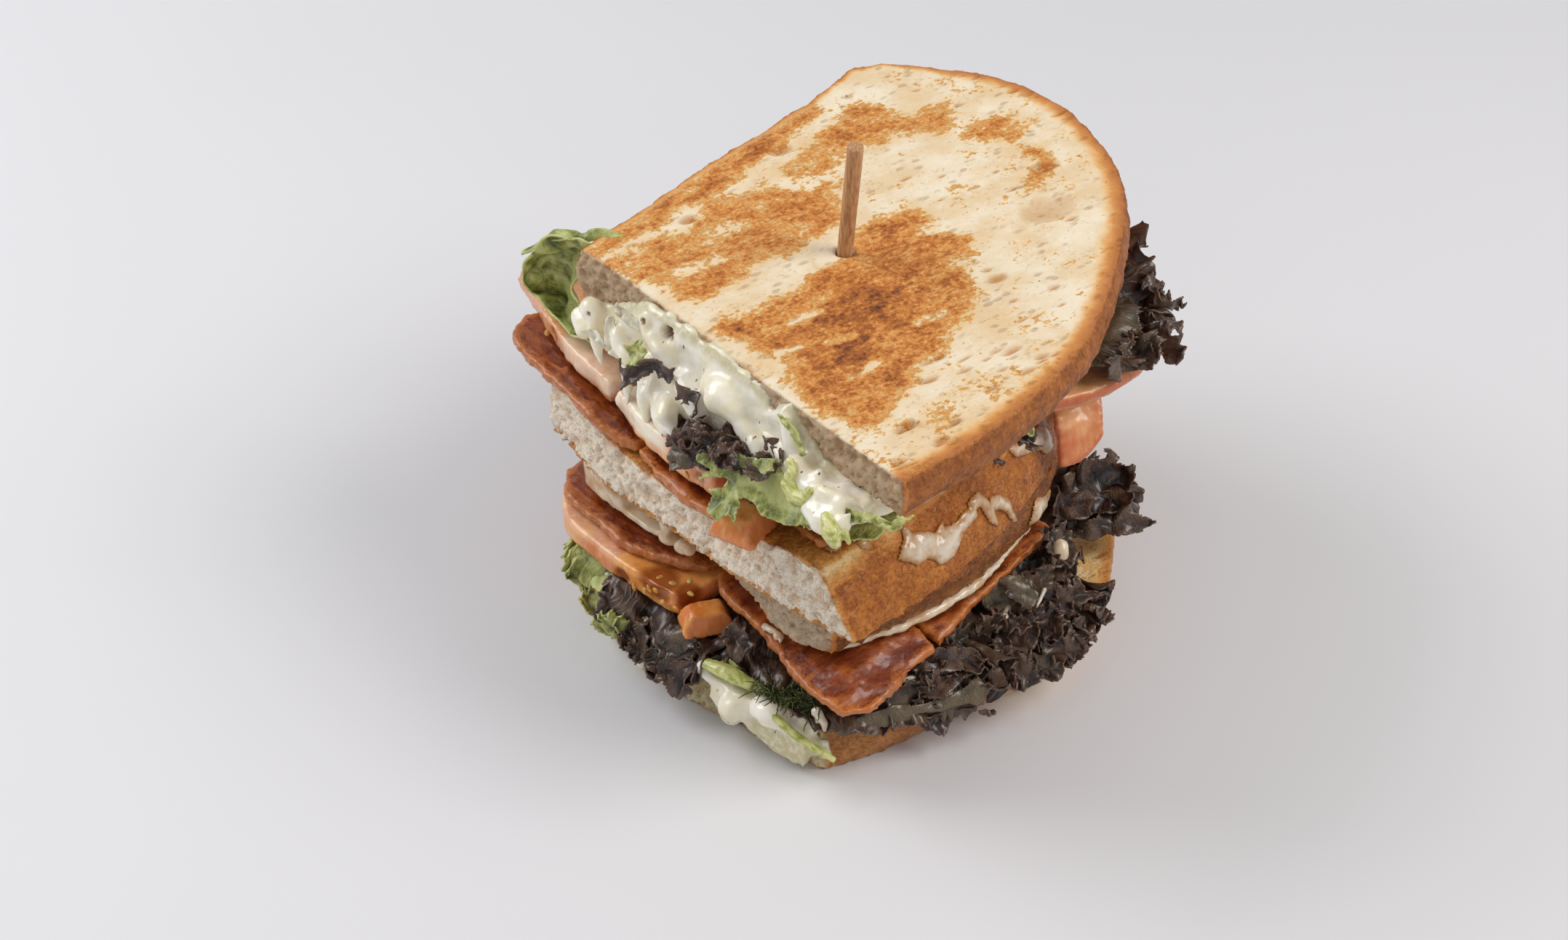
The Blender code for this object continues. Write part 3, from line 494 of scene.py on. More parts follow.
topSlice = {
    "name": "griddledTopSlice", "piece": "topSlice", "node": "upper_top_bread",
    "voxel": 0.6, "smoothing": 3, "waves": 0.3, "cutPits": 520, "facePits": 110,
    "front": [(0, 0), (30, 0.4), (62, -0.4), (106, 0)], "pickHole": (37, 44, 7), "deepest": 20.0,
    "toast": [
        (0.8, [42,5, 42,11, 43,15, 41,20, 43,26, 39,32, 38,37, 38,45, 34,50, 33,54, 33,59, 35,67, 39,67,
            42,60, 46,64, 49,68, 55,64, 55,57, 61,58, 67,55, 72,47, 73,39, 78,35, 76,30, 83,22, 84,17,
            87,11, 89,5, 84,5, 78,3, 70,4, 66,4, 63,10, 56,9, 52,6, 45,5]),
        (0.98, [47,14, 48,26, 46,40, 44,52, 52,54, 62,50, 66,40, 68,30, 74,20, 80,10, 74,8, 68,14, 60,18,
            54,14]),
        (0.64, [8,0, 8,4, 6,8, 8,14, 10,21, 7,28, 3,34, 6,41, 7,46, 11,49, 14,54, 13,58, 15,63, 18,56,
            25,53, 29,44, 30,37, 28,29, 29,22, 31,14, 32,9, 26,5, 16,3]),
        (0.74, [-1,-4, -6,4, -9,18, -12,34, -14,49, -15,61, -19,78, -10,76, -5,60, -1,46, 1,31, 3,16,
            5,2]),
        (0.62, [1,61, -2,69, -7,84, -6,88, 1,89, 5,92, 6,101, 13,96, 15,91, 10,88, 9,82, 11,77, 4,76,
            9,67, 11,58, 9,53, 4,54]),
        (0.6, [20,96, 16,101, 19,107, 25,106, 26,102, 23,98]),
        (0.8, [31,102, 34,105, 40,103, 42,98, 44,92, 41,95, 39,99, 36,102]),
        (0.15, [88,0, 110,0, 110,40, 98,60, 88,44]),
    ],
    "bare": [
        (38, 18, 36, 44, 2.6, 0.5), (50, 18, 51, 25, 1.5, 0.6), (61, 19, 62, 25, 1.3, 0.6),
        (57, 9, 58, 13, 1.3, 0.6), (67, 38, 68, 45, 1.2, 0.6), (73, 15, 73, 22, 1.1, 0.5),
        (12, 26, 16, 34, 2.5, 0.3), (20, 12, 22, 20, 2.5, 0.3),
    ],
    "namedPits": [
        ((53, 89), 5.2, 1.5, 1.1), ((40, 101), 2.0, 2.2, 0.7), ((93, 13), 1.2, 3.4, 1.3),
        ((101, 15), 1.0, 3.0, 1.1), ((100, 4), 0.9, 2.6, 0.9), ((87, 47), 1.0, 4.0, 0.9),
        ((79, 31), 0.9, 3.2, 0.6), ((85, 44), 0.9, 3.2, 0.6), ((98, 21), 1.0, 3.0, 0.7),
        ((6, 25), 1.7, 1.6, 0.6), ((-3, 59), 2.0, 1.8, 0.6), ((66, 62), 1.6, 2.0, 0.5),
    ],
    "allOver": 0.1, "holeSize": 1.9, "patchSize": 5.4, "faceShade": 0.42, "cutShade": 0.12,
    "faceStops": [(0.0, (240, 206, 148)), (0.14, (230, 180, 110)), (0.28, (218, 152, 80)),
                  (0.45, (202, 130, 60)), (0.62, (182, 108, 46)), (0.82, (150, 84, 36)),
                  (1.0, (92, 50, 26))],
    "paleA": (240, 226, 200), "paleB": (228, 200, 158), "washTint": (226, 180, 116),
    "rimWidth": 6.4, "rimAmount": 0.95, "thinLeftRim": 1.6,
    "rimStops": [(0.0, (176, 102, 44)), (0.3, (206, 134, 64)), (0.65, (228, 172, 100)),
                 (1.0, (242, 214, 164))],
    "crustPatch": 4.0,
    "crustStops": [(0.0, (214, 164, 100)), (0.3, (194, 130, 62)), (0.55, (168, 100, 40)),
                   (0.8, (130, 72, 30)), (1.0, (88, 48, 24))],
    # the cut's crumb is set darker and greyer than the middle slice's, partly its own tone and partly
    # painted shade on the cut face
    "crumbA": (202, 178, 148), "crumbB": (178, 150, 118),
    "edgeTint": (206, 152, 92), "edgeToast": 0.2, "lowEdgeShift": 3.0,
    # the hole colour here is the painted shade in the crumb's holes
    "holeShadeTint": (190, 154, 108), "rough": 0.72, "crustGloss": 0.2, "specks": 1.0, "flakes": 0.6,
}
makeBread(topSlice)

upperBase = dict(
    topSlice, name="butteredMiddleSlice", piece="upperBase", node="upper_bottom_bread",
    voxel=0.68, smoothing=2, waves=0.35, cutPits=420, facePits=160, namedPits=[],
    front=[(-2, -8.5), (21, -11.8), (46, -10.2), (70, -9.2), (98, -5)],
    toast=[(0.72, [-20,-15, 110,-15, 110,30, -20,30])], bare=[], allOver=0.5, patchSize=4.5,
    faceStops=[(0.0, (242, 212, 158)), (0.3, (230, 180, 104)), (0.6, (212, 148, 72)),
               (1.0, (168, 100, 44))],
    rimStops=[(0.0, (196, 122, 52)), (0.4, (214, 150, 78)), (0.7, (228, 176, 104)),
              (1.0, (232, 184, 112))],
    rimWidth=5.0, edgeToast=0.72, lowEdgeShift=0.0, cutShade=0.1,
    crumbA=(248, 236, 218), crumbB=(230, 212, 186), edgeTint=(206, 148, 84),
    crustStops=[(0.0, (228, 182, 112)), (0.3, (208, 142, 64)), (0.55, (184, 112, 42)),
                (0.8, (156, 86, 28)), (1.0, (112, 60, 22))],
    specks=0.4, crustGloss=0.34, flakes=1.6,
)
butteredSlice = makeBread(upperBase)

lowerLid = dict(
    upperBase, name="butteredLid", piece="lowerLid", node="lower_top_bread", voxel=0.8,
    front=[(-6, 20), (10, 13), (30, 5), (49, -1), (64, -3), (76, -6), (87, -2)],
    # the lid's crumb is set darker as painted shade under the slices that overhang it
    cutPits=300, facePits=0, edgeToast=0.5, crumbA=(206, 186, 160), crumbB=(166, 142, 112),
    crustStops=[(0.0, (212, 158, 94)), (0.35, (182, 118, 60)), (0.6, (146, 88, 42)),
                (0.85, (108, 62, 32)), (1.0, (68, 38, 24))],
)
lidSlice = makeBread(lowerLid)

bottomSlice = dict(
    upperBase, name="bottomSliceBread", piece="bottomSlice", node="lower_bottom_bread", voxel=0.8,
    front=[(5, -8), (22, -12.2), (40, -14.6), (62, -10.6), (88, -5)], cutPits=320, facePits=60,
    allOver=0.6, edgeToast=0.5, flakes=0.0,
    crustStops=[(0.0, (232, 190, 128)), (0.35, (214, 156, 88)), (0.6, (188, 124, 60)),
                (0.85, (156, 92, 42)), (1.0, (112, 62, 30))],
    crumbA=(222, 210, 172), crumbB=(196, 182, 138),
)
makeBread(bottomSlice)


# dressing and sauce

def dressingMaterial(name, look):
    material, tree = startMaterial(
        name, Subsurface_Weight=0.25, Subsurface_Scale=0.006, Subsurface_Radius=(1.0, 0.8, 0.45),
        IOR=1.42, Coat_Weight=0.4, Coat_Roughness=0.06)
    where = millimetres(tree)
    cloudy = noiseOn(tree, where, 6.0, 4.0)
    green = patchesOn(tree, where, 0.0, 5.0, 0.5, 0.75)
    sheer = spread(tree, noiseOn(tree, where, 1.6, 4.0), 0.3, 0.6, 0.4, 1)
    flecks = addNode(tree, "TexVoronoi", {"Vector": millimetres(tree, (1.4, 1.0, 0.6)), "Scale": 0.42})
    parts = addNode(tree, "SeparateColor", {"Color": flecks.outputs["Color"]}).outputs
    fleck = times(tree, spread(tree, flecks.outputs["Distance"], 0.1, 0.16, 1, 0),
                  spread(tree, parts[0], 0.72, 0.74))
    fleckTint = blendColours(tree, spread(tree, parts[1], 0.25, 0.3), (176, 112, 60), (84, 96, 48))
    # the crumb seen at the bottom of the dressing's bubbles, darkened as painted shade
    inside = blendColours(tree, noiseOn(tree, where, 0.9, 3.0), (150, 112, 62), (92, 58, 26))
    colour = layers(
        tree, blendColours(tree, spread(tree, cloudy, 0.35, 0.65), look["thick"], look["thin"]),
        (times(tree, green["Mask"], look["greenAmount"]), look["greenTint"]),
        (times(tree, mask(tree, "sheer"), sheer), look["sheerTint"]),
        (times(tree, fleck, look["flecks"]), fleckTint),
        (mask(tree, "shadedBubbleFloor"), inside))
    if "film" in look:                     # thin margins let the crust show through
        margin = plus(tree, mask(tree, "inward"), sway(tree, noiseOn(tree, where, 2.0, 4.0), 1.2))
        colour = layers(tree, colour, (spread(tree, margin, 0.0, 0.75, 1, 0), (190, 134, 80)))
    height = plus(tree, noiseOn(tree, where, 2.2, 4.0, 0.5),
                  times(tree, noiseOn(tree, where, 0.7, 3.0, 0.5), 0.3))
    gloss = spread(tree, cloudy, 0.3, 0.7, 0.14, 0.3)
    return finish(material, colour, gloss, relief(tree, height, 0.35, 0.25))


ivory = dressingMaterial("creamyDressing", {
    "thick": (255, 246, 230), "thin": (245, 232, 201), "greenTint": (220, 213, 156),
    "greenAmount": 0.42, "flecks": 0.9, "sheerTint": (206, 196, 154)})
whiteSauce = dressingMaterial("whiteSauce", {
    "thick": (240, 226, 204), "thin": (218, 194, 162), "greenTint": (204, 160, 118),
    "greenAmount": 0.6, "flecks": 0.25, "sheerTint": (204, 160, 118)})
meltedSauce = dressingMaterial("meltedSauce", {
    "thick": (236, 220, 194), "thin": (200, 164, 122), "greenTint": (146, 96, 54),
    "greenAmount": 0.85, "flecks": 0.4, "sheerTint": (146, 96, 54)})
thinSauce = dressingMaterial("thinSauce", {
    "thick": (234, 216, 190), "thin": (212, 182, 146), "greenTint": (196, 148, 100),
    "greenAmount": 0.6, "flecks": 0.1, "film": True, "sheerTint": (206, 160, 116)})


def dribble(places, radii, step):          # balls along a path, which a remesh then melts together
    balls = []
    for i, (a, b) in enumerate(zip(places, places[1:])):
        a, b = Vector(a), Vector(b)
        count = max(int((b - a).length / step), 1)
        for k in range(count):
            t = k / count
            balls.append((*a.lerp(b, t), radii[i] * (1 - t) + radii[i + 1] * t))
    balls.append((*places[-1], radii[-1]))
    return balls


def dribbles(rows, step=0.6):
    return [ball for places, radii in rows for ball in dribble(places, radii, step)]


def goo(name, nodeNames, balls, voxel, smoothing, shaved=None, lumps=0.2):
    shape = shapeOf(nodeNames)
    if shaved:                             # draws the front back, before the drops are added
        for vert in shape.verts:
            x, y = vert.co.x / mm + planOrigin[0], vert.co.y / mm + planOrigin[1]
            if y < 0:
                vert.co.y = (y * float(between(shaved, x)) - planOrigin[1]) * mm
    for x, y, z, radius in balls:
        centre = (Vector((x, y, z)) - Vector(planOrigin)) * mm
        bmesh.ops.create_icosphere(shape, subdivisions=2 if radius > 1.6 else 1, radius=radius * mm,
                                   matrix=Matrix.Translation(centre))
    piece, points, normals = moulded(name, shape, voxel, smoothing)
    points += normals * (lumps * bumps(points, 4.2, 7.0) + 0.1 * bumps(points, 2.0, 4.0))[:, None]
    movePoints(piece, points)
    return piece


# melted over the cut: a thin coat, big drops and runs that hang from it
coat = {
    "top": [(8, 77), (14, 80.5), (20, 84), (26, 86.8), (50, 87.2), (60, 86.4), (65, 85), (72, 86.8),
            (76, 83.5), (82, 79.5), (92, 76)],
    "bottom": 73.0, "pitch": 1.0, "radius": (1.35, 1.5), "voxel": 0.55, "smoothing": 15,
    "runs": [
        ([(48.5, -1.5, 80), (53, -2.6, 80), (58, -2.4, 79)], (3.4, 4.6, 3.4)),
        ([(26, -1.5, 81), (31, -2.2, 79), (37, -2.5, 76)], (1.8, 2.3, 2.0)),
        ([(40, -2.8, 76.5), (44, -4, 75), (47, -4.5, 73)], (2.6, 3.0, 2.4)),
        ([(36, -4, 71), (38.5, -7, 70.5), (40, -8.5, 70)], (1.8, 2.2, 1.9)),
        ([(60, -3, 77), (66, -4, 75), (70, -5, 72.5), (72, -6.5, 70)], (2.6, 2.6, 2.2, 1.6)),
        ([(62, -1, 80), (67, -1, 82), (71, -1.2, 85), (73.5, -2, 83.5), (75.5, -3.2, 79),
          (76.5, -4.5, 75)], (1.5, 1.4, 1.6, 1.7, 1.9, 1.8)),
        ([(79, -4.5, 78), (84, -5.5, 76), (89, -6, 75.5), (94, -7, 75)], (2.2, 2.8, 3.0, 3.0)),
        ([(88, -8, 74.5), (92, -8.5, 74.5), (97, -7.6, 75.5)], (2.6, 2.8, 2.2)),
        ([(88, -8.6, 72.4), (92, -9, 73), (95, -8.6, 73.6)], (1.5, 2.0, 1.8)),
        ([(26, -3, 70.5), (30, -6, 67), (33, -7.6, 64)], (2.2, 1.9, 1.0)),
        ([(21, -3.5, 70), (23.5, -5.8, 66.5), (25, -7, 64.2)], (1.8, 1.4, 0.8)),
        ([(32, -4, 70.5), (37, -7.4, 67), (40, -8.6, 65.4)], (2.4, 2.0, 1.2)),
        ([(38, -6, 70), (42.5, -8.4, 67)], (2.2, 1.4))],
    "shelfLumps": 46,
    "leftRuns": [
        ([(7, -2.6, 77.4), (8.5, -3, 76)], (2.9, 2.4)),
        ([(3, -2.5, 73), (6, -4, 71.5)], (2.6, 2.2)),
        ([(10, -4, 74), (12, -5, 71), (14.5, -6, 68.6)], (2.0, 1.6, 0.9)),
        ([(17, -3, 76), (20, -4, 74), (24, -4.5, 73)], (2.2, 2.2, 1.8)),
        ([(25, -1, 83.5)], (2.0,))],
    "bubbles": [((32.5, -1.4, 84), 2.0, 1.0, 2.2), ((66.6, -1.2, 85.4), 1.7, 1.0, 1.8),
                ((25.4, -2.6, 84), 1.0, 1.0, 0.5), ((45, -3.4, 78), 0.6, 1.0, 0.5),
                ((9, -5, 78), 0.7, 1.0, 0.4)],
}
balls = []
for x in np.arange(8, 92, coat["pitch"]):
    top = float(between(coat["top"], x)) + 1.0 * noise.noise(Vector((x / 5.0, 2.0, 0.0)))
    for z in np.arange(coat["bottom"], top, coat["pitch"]):
        full = min(top - z, 3.0) / 3
        balls.append((x, 0.5 - 0.9 * full, z, random.uniform(*coat["radius"])))
balls += dribbles(coat["runs"])
for k in range(coat["shelfLumps"]):        # lumps that lie on the shelf at the right
    balls.append((random.uniform(76, 98), random.uniform(-6.5, -0.8), random.uniform(77.8, 79.2),
                  random.uniform(0.8, 1.7)))
balls += dribbles(coat["leftRuns"])
upperDressing = goo("upperDressing", ["upper_dressing"], balls, coat["voxel"], coat["smoothing"],
                    shaved=[(14, 0.9), (20, 0.65), (72, 0.65), (78, 0.85), (92, 0.9)], lumps=0.3)
points, normals = pointsOf(upperDressing), normalsOf(upperDressing)
# bubbles pressed into the dressing; how deep a point sits in one sets the painted shade of its floor
bubbleShadeDepth = pressPits(points, normals, coat["bubbles"])
movePoints(upperDressing, points)
paint(upperDressing, "shadedBubbleFloor", ease(0.25, 0.6, bubbleShadeDepth))
thinAt = np.abs(points[:, 2] - np.interp(points[:, 0], *np.array(coat["top"]).T))
paint(upperDressing, "sheer", 0.8 * ease(2.6, 0.4, thinAt) * ease(-2.4, -1.0, points[:, 1]))
settle(upperDressing, ivory, "dressing", "upper_dressing")
print("upper dressing", len(upperDressing.data.vertices))

balls = []
for k in range(150):                       # over the cut of the bottom slice, with drips at both ends
    left = random.random() < 0.45
    x = random.uniform(20, 50) if left else random.uniform(62, 90)
    front = float(between(bottomSlice["front"], x))
    rise = random.random()
    balls.append((x, front + 0.5 - 0.6 * rise, 2.5 + (8.5 if left else 11) * rise,
                  random.uniform(0.9, 1.7)))
for x, top, end, radius in ((24, 6, 2.2, 1.2), (30, 6, 2.6, 1.5), (37, 5, 1.9, 1.3), (44, 6, 2.4, 1.5),
                            (73, 9, 3.5, 1.8), (79, 8, 2.4, 1.6), (84, 8, 2.6, 1.3)):
    front = float(between(bottomSlice["front"], x))
    balls += dribbles([([(x, front, top), (x + 0.5, front - 0.9, end)], (radius + 0.5, radius))])
balls += dribbles([
    ([(66.5, -12.2, 12), (68, -12.8, 9.8), (66.8, -12.8, 6.8), (66, -12.6, 5)], (2.4, 3.7, 2.6, 0.8)),
    ([(75.5, -11.2, 13.6), (78.5, -10.8, 13.4), (80, -10.2, 12)], (3.0, 3.1, 2.0)),
    ([(58, -13, 14), (61, -13.5, 13)], (1.9, 1.5))])
lowerDressing = goo("lowerDressing", ["lower_dressing", "lower_dressing_drips"], balls, 0.62, 4,
                    lumps=0.45)
points = pointsOf(lowerDressing)
paint(lowerDressing, "sheer", ease(11.5, 8.0, points[:, 2]) * (1 - 0.8 * ease(-11.6, -13.0, points[:, 1])))
settle(lowerDressing, ivory, "dressing", "lower_dressing", "lower_dressing_drips")

balls = []
for k in range(26):
    x = random.uniform(-3, 20) if k < 18 else random.uniform(30, 42)
    radius = random.uniform(1.0, 2.4)
    front = float(between(lowerLid["front"], x)) - random.uniform(5, 15)
    balls.append((x, max(front, -4), 31 + random.uniform(0, 4), radius))
for k in range(16):                        # crumbly bits caught between the bacon and the lid
    balls.append((random.uniform(66, 74), -3.4 + random.uniform(-0.8, 0.8), 26.8,
                  random.uniform(0.6, 1.3)))
lowerSauce = goo("lowerSauce", ["lower_sauce"], balls, 0.8, 2, lumps=0.4)
settle(lowerSauce, meltedSauce, "dressing", "lower_sauce")
print("sauces made")


# tomato

def tomatoMaterial(name, look):
    material, tree = startMaterial(
        name, Subsurface_Weight=0.12, Subsurface_Scale=0.004, Subsurface_Radius=(1.0, 0.45, 0.2),
        IOR=1.38, Coat_Weight=0.45, Coat_Roughness=0.08)
    where = millimetres(tree)
    fibres = noiseOn(tree, millimetres(tree, (1, 1, 0.25)), 1.6, 6.0, 0.65)
    broad = noiseOn(tree, where, 9.0, 3.0)
    jelly = mask(tree, "jelly")
    colour = layers(
        tree, blendColours(tree, spread(tree, broad, 0.35, 0.65), look["flesh"], look["fleshB"]),
        (times(tree, spread(tree, fibres, 0.45, 0.75), 0.5), look["fibre"]),
        (mask(tree, "skin"), look["skin"]),
        # painted shade in the creases of the flesh, in the jelly colour
        (spread(tree, mask(tree, "hollowShade"), 0.2, 0.9, 0, 0.6), look["jelly"]),
        (jelly, look["jelly"]),
        (mask(tree, "smear"), look["smear"]))
    gloss = times(tree, spread(tree, fibres, 0.3, 0.8, 0.18, 0.36), spread(tree, jelly, 0, 1, 1, 0.4))
    height = plus(tree, fibres, noiseOn(tree, where, 4.0, 2.0))
    return finish(material, colour, gloss, relief(tree, height, 0.4, 0.4))


freshTomato = tomatoMaterial("tomatoFlesh", {
    "flesh": (242, 166, 86), "fleshB": (216, 118, 50), "fibre": (248, 200, 138),
    "skin": (222, 130, 74), "jelly": (150, 70, 18), "smear": (252, 242, 220)})


paleTomato = tomatoMaterial("paleTomatoFlesh", {
    "flesh": (240, 180, 126), "fleshB": (212, 132, 80), "fibre": (248, 210, 164),
    "skin": (190, 94, 54), "jelly": (168, 86, 34), "smear": (252, 242, 220)})


tomatoBasics = {"voxel": 0.68, "smoothing": 4, "cut": True, "drawn": 0.0, "jelly": [], "smear": [],
                "smearFrom": 60.0, "flesh": paleTomato}


def makeTomato(name, node, **own):
    look = {**tomatoBasics, **own}
    piece, points, normals = moulded(name, shapeOf([node]), look["voxel"], look["smoothing"])
    side = ease(0.65, 0.25, np.abs(normals[:, 2]))
    cutFace = ease(-0.5, -0.8, normals[:, 1]) * look["cut"]
    points += normals * (0.35 * bumps(points, 7.0, 1.0) + 0.12 * bumps(points, 1.8, 6.0))[:, None]
    jelly = np.zeros(len(points))
    for place, radius in look["jelly"]:
        away = np.linalg.norm((points - np.array(place)) / np.array([1, 1, 0.8]), axis=1)
        jelly = np.maximum(jelly, 1 - ease(0.6 * radius, radius, away))
    points -= normals * (0.5 * jelly)[:, None]
    points[:, 0] -= look["drawn"] * ease(0.1, 0.6, normals[:, 0])
    movePoints(piece, points)
    paint(piece, "skin", side * (1 - cutFace) * 0.9)
    # creases of the surface, for the painted shade
    paint(piece, "hollowShade", np.clip(-ridges(piece, 16) * 2.5, 0, 1))
    paint(piece, "jelly", jelly * 0.9)
    smear = strokeField(points, look["smear"])
    smear *= ease(look["smearFrom"], look["smearFrom"] + 2.0, points[:, 2])
    paint(piece, "smear", smear * (0.5 + 0.5 * np.clip(1 + bumps(points, 3.0, 8.0), 0, 1)))
    settle(piece, look["flesh"], "tomato", node)


makeTomato("upperTomatoLeft", "upper_tomato_left", smear=[(4, -4, 20, -6, 6, 0.5)], smearFrom=60.5,
           jelly=[((-6, -4.0, 64), 2.2)])
makeTomato("upperTomatoMiddle", "upper_tomato_middle", smear=[(18, -5, 34, -6, 7, 0.95)], smearFrom=59.0,
           jelly=[((52, -9, 61), 2.0)])
makeTomato("upperTomatoSide", "upper_tomato_side", cut=False, drawn=2.4)
for part, node in (("upperTomatoRight", "upper_tomato_right"), ("upperTomatoBack", "upper_tomato_back"),
                   ("lowerTomatoBack", "lower_tomato_back")):
    makeTomato(part, node, cut=False, voxel=0.85)
makeTomato("upperTomatoBent", "upper_tomato_bent", smoothing=2, cut=False)
for part, node in (("upperTomatoChunk", "upper_tomato_chunk"), ("lowerTomatoChunk", "lower_tomato_chunk")):
    makeTomato(part, node, smoothing=2, flesh=freshTomato)
makeTomato("lowerTomatoFront", "lower_tomato", flesh=freshTomato, smear=[(2, -10, 22, -13, 5, 0.3)],
           smearFrom=22.2, jelly=[((38, -9.5, 23.4), 6.4), ((45, -7, 23), 4.4), ((28, -12.5, 20.5), 2.8),
                                  ((14, -11.5, 21), 1.8)])
print("tomatoes made")


# bacon

def baconMaterial(name, look):
    material, tree = startMaterial(name, Subsurface_Weight=0.1, Subsurface_Scale=0.003, IOR=1.45,
                                   Coat_Weight=0.4, Coat_Roughness=0.18)
    where, along = millimetres(tree), millimetres(tree, look["stretch"])
    streaks = noiseOn(tree, along, 1.1, 4.0, 0.6)
    total = plus(tree, times(tree, noiseOn(tree, along, 3.4, 5.0, 0.6), 0.75), times(tree, streaks, 0.25))
    brown = patchesOn(tree, where, mask(tree, "rough"), 3.0, 0.45, 0.8)
    clear = spread(tree, noiseOn(tree, where, 7.0, 3.0), 0.48, 0.66)
    ridge = mask(tree, "ridge")
    colour = layers(
        tree, ramp(tree, spread(tree, total, 0.24, 0.76), look["stops"]),
        (times(tree, brown["Mask"], 0.75), look["crisp"]),
        (times(tree, clear, 0.55), look["clear"]),
        # painted shade in the hollows of the ripples; their ridges take the crisp tint
        (spread(tree, ridge, 0.1, 0.5, 0.3, 0), look["hollowShade"]),
        (spread(tree, ridge, 0.6, 1.0, 0, 0.5), look["crisp"]))
    gloss = spread(tree, streaks, 0.3, 0.7, 0.14, 0.36)
    height = plus(tree, times(tree, total, 0.5), times(tree, noiseOn(tree, where, 0.9, 5.0, 0.65), 0.6))
    return finish(material, colour, gloss, relief(tree, height, 0.6, 0.7))


fried = {"stops": [(0.0, (84, 32, 14)), (0.35, (122, 50, 20)), (0.6, (150, 70, 26)), (0.8, (174, 96, 40)),
                   (1.0, (204, 138, 76))],
         # the last colour is the painted shade in the creases of the ripples
         "clear": (104, 38, 16), "crisp": (196, 116, 52), "hollowShade": (78, 28, 12)}
friedAlong = baconMaterial("friedBacon", {**fried, "stretch": (0.16, 1, 1)})
friedBack = baconMaterial("friedBaconSide", {**fried, "stretch": (1, 0.16, 1)})


rasher = {"voxel": 0.56, "smoothing": 2, "curl": 0.7, "frizz": 0.22, "edgeFrizz": 0.45}


def makeBacon(name, node, material):
    piece, points, normals = moulded(name, shapeOf([node]), rasher["voxel"], rasher["smoothing"])
    side = ease(0.7, 0.3, np.abs(normals[:, 2]))
    curl = rasher["curl"] * bumps(points * np.array([1, 0.6, 1]), 7.5, 2.0)
    curl += rasher["frizz"] * bumps(points, 1.8, 7.0, 3)
    points += normals * (curl + side * rasher["edgeFrizz"] * bumps(points, 1.8, 3.0, 2))[:, None]
    movePoints(piece, points)
    # ridges and hollows of the ripples, for the painted shade and the crisp tint
    paint(piece, "ridge", np.clip(0.5 + 1.3 * ridges(piece, 24), 0, 1))
    edge = treeOf(points, np.flatnonzero(side > 0.6))
    away = np.array([edge.find(Vector(place))[2] for place in points])
    paint(piece, "rough", 0.9 * ease(3.2, 0.2, away))
    settle(piece, material, "bacon", node)


for half, side, material in (("upper", "Left", friedAlong), ("upper", "Middle", friedAlong),
                             ("upper", "Right", friedBack), ("lower", "Left", friedAlong),
                             ("lower", "Front", friedBack), ("lower", "Right", friedBack)):
    makeBacon(half + "Bacon" + side, half + "_bacon_" + side.lower(), material)
print("bacon made")


# lettuce

def leafMaterial(name, look):
    material, tree = startMaterial(name, Subsurface_Weight=0.12, Subsurface_Scale=0.002, IOR=1.4,
                                   Coat_Weight=look["coat"], Coat_Roughness=0.22)
    where = millimetres(tree)
    inward, across, ridge = mask(tree, "inward"), mask(tree, "across"), mask(tree, "ridge")
    mottled = noiseOn(tree, where, 4.0, 6.0, 0.62)
    base = plus(tree, inward, sway(tree, mottled, 0.5))
    lanes = addNode(tree, "CombineXYZ", {0: times(tree, across, look["veins"]),
                                         1: times(tree, inward, 3.0), 2: 0.0}).outputs[0]
    warp = addNode(tree, "TexNoise", {"Vector": lanes, "Scale": 1.2, "Detail": 2.0}).outputs["Color"]
    lanes = addNode(tree, "MixRGB", {0: 0.5, 1: lanes, 2: warp}, blend_type="LINEAR_LIGHT").outputs[0]
    cells = addNode(tree, "TexVoronoi", {"Vector": lanes, "Scale": 1.0}, feature="DISTANCE_TO_EDGE")
    vein = spread(tree, cells.outputs["Distance"], 0.0, 0.1, 1, 0)
    colour = layers(
        tree, ramp(tree, spread(tree, mottled, 0.3, 0.7), look["stops"]),
        (spread(tree, base, 0.55, 0.9), look["baseTint"]),
        # pale colour of the leaf, partly its own and partly painted sheen where it lies flat and glossy
        (times(tree, mask(tree, "pale"), spread(tree, mottled, 0.25, 0.55, 0.5, 1)), look["paleAndSheenTint"]),
        (times(tree, vein, look["veinAmount"]), look["veinTint"]),
        (times(tree, spread(tree, inward, 0.0, 0.06, 1, 0), 0.5), look["rimTint"]),
        # painted highlight on the ridges of the crumpled sheet and painted shade in its hollows
        (spread(tree, ridge, 0.55, 0.95, 0, look["ridgeHighlightAmount"]), look["ridgeHighlightTint"]),
        (spread(tree, ridge, 0.1, 0.5, look["hollowShadeAmount"], 0), look["hollowShadeTint"]))
    wrinkles = noiseOn(tree, where, 1.3, 6.0, 0.6)
    gloss = spread(tree, wrinkles, 0.3, 0.7, look["rough"], look["rough"] + 0.2)
    height = plus(tree, wrinkles, times(tree, vein, 0.6))
    return finish(material, colour, gloss, relief(tree, height, 0.4, look["creases"]))


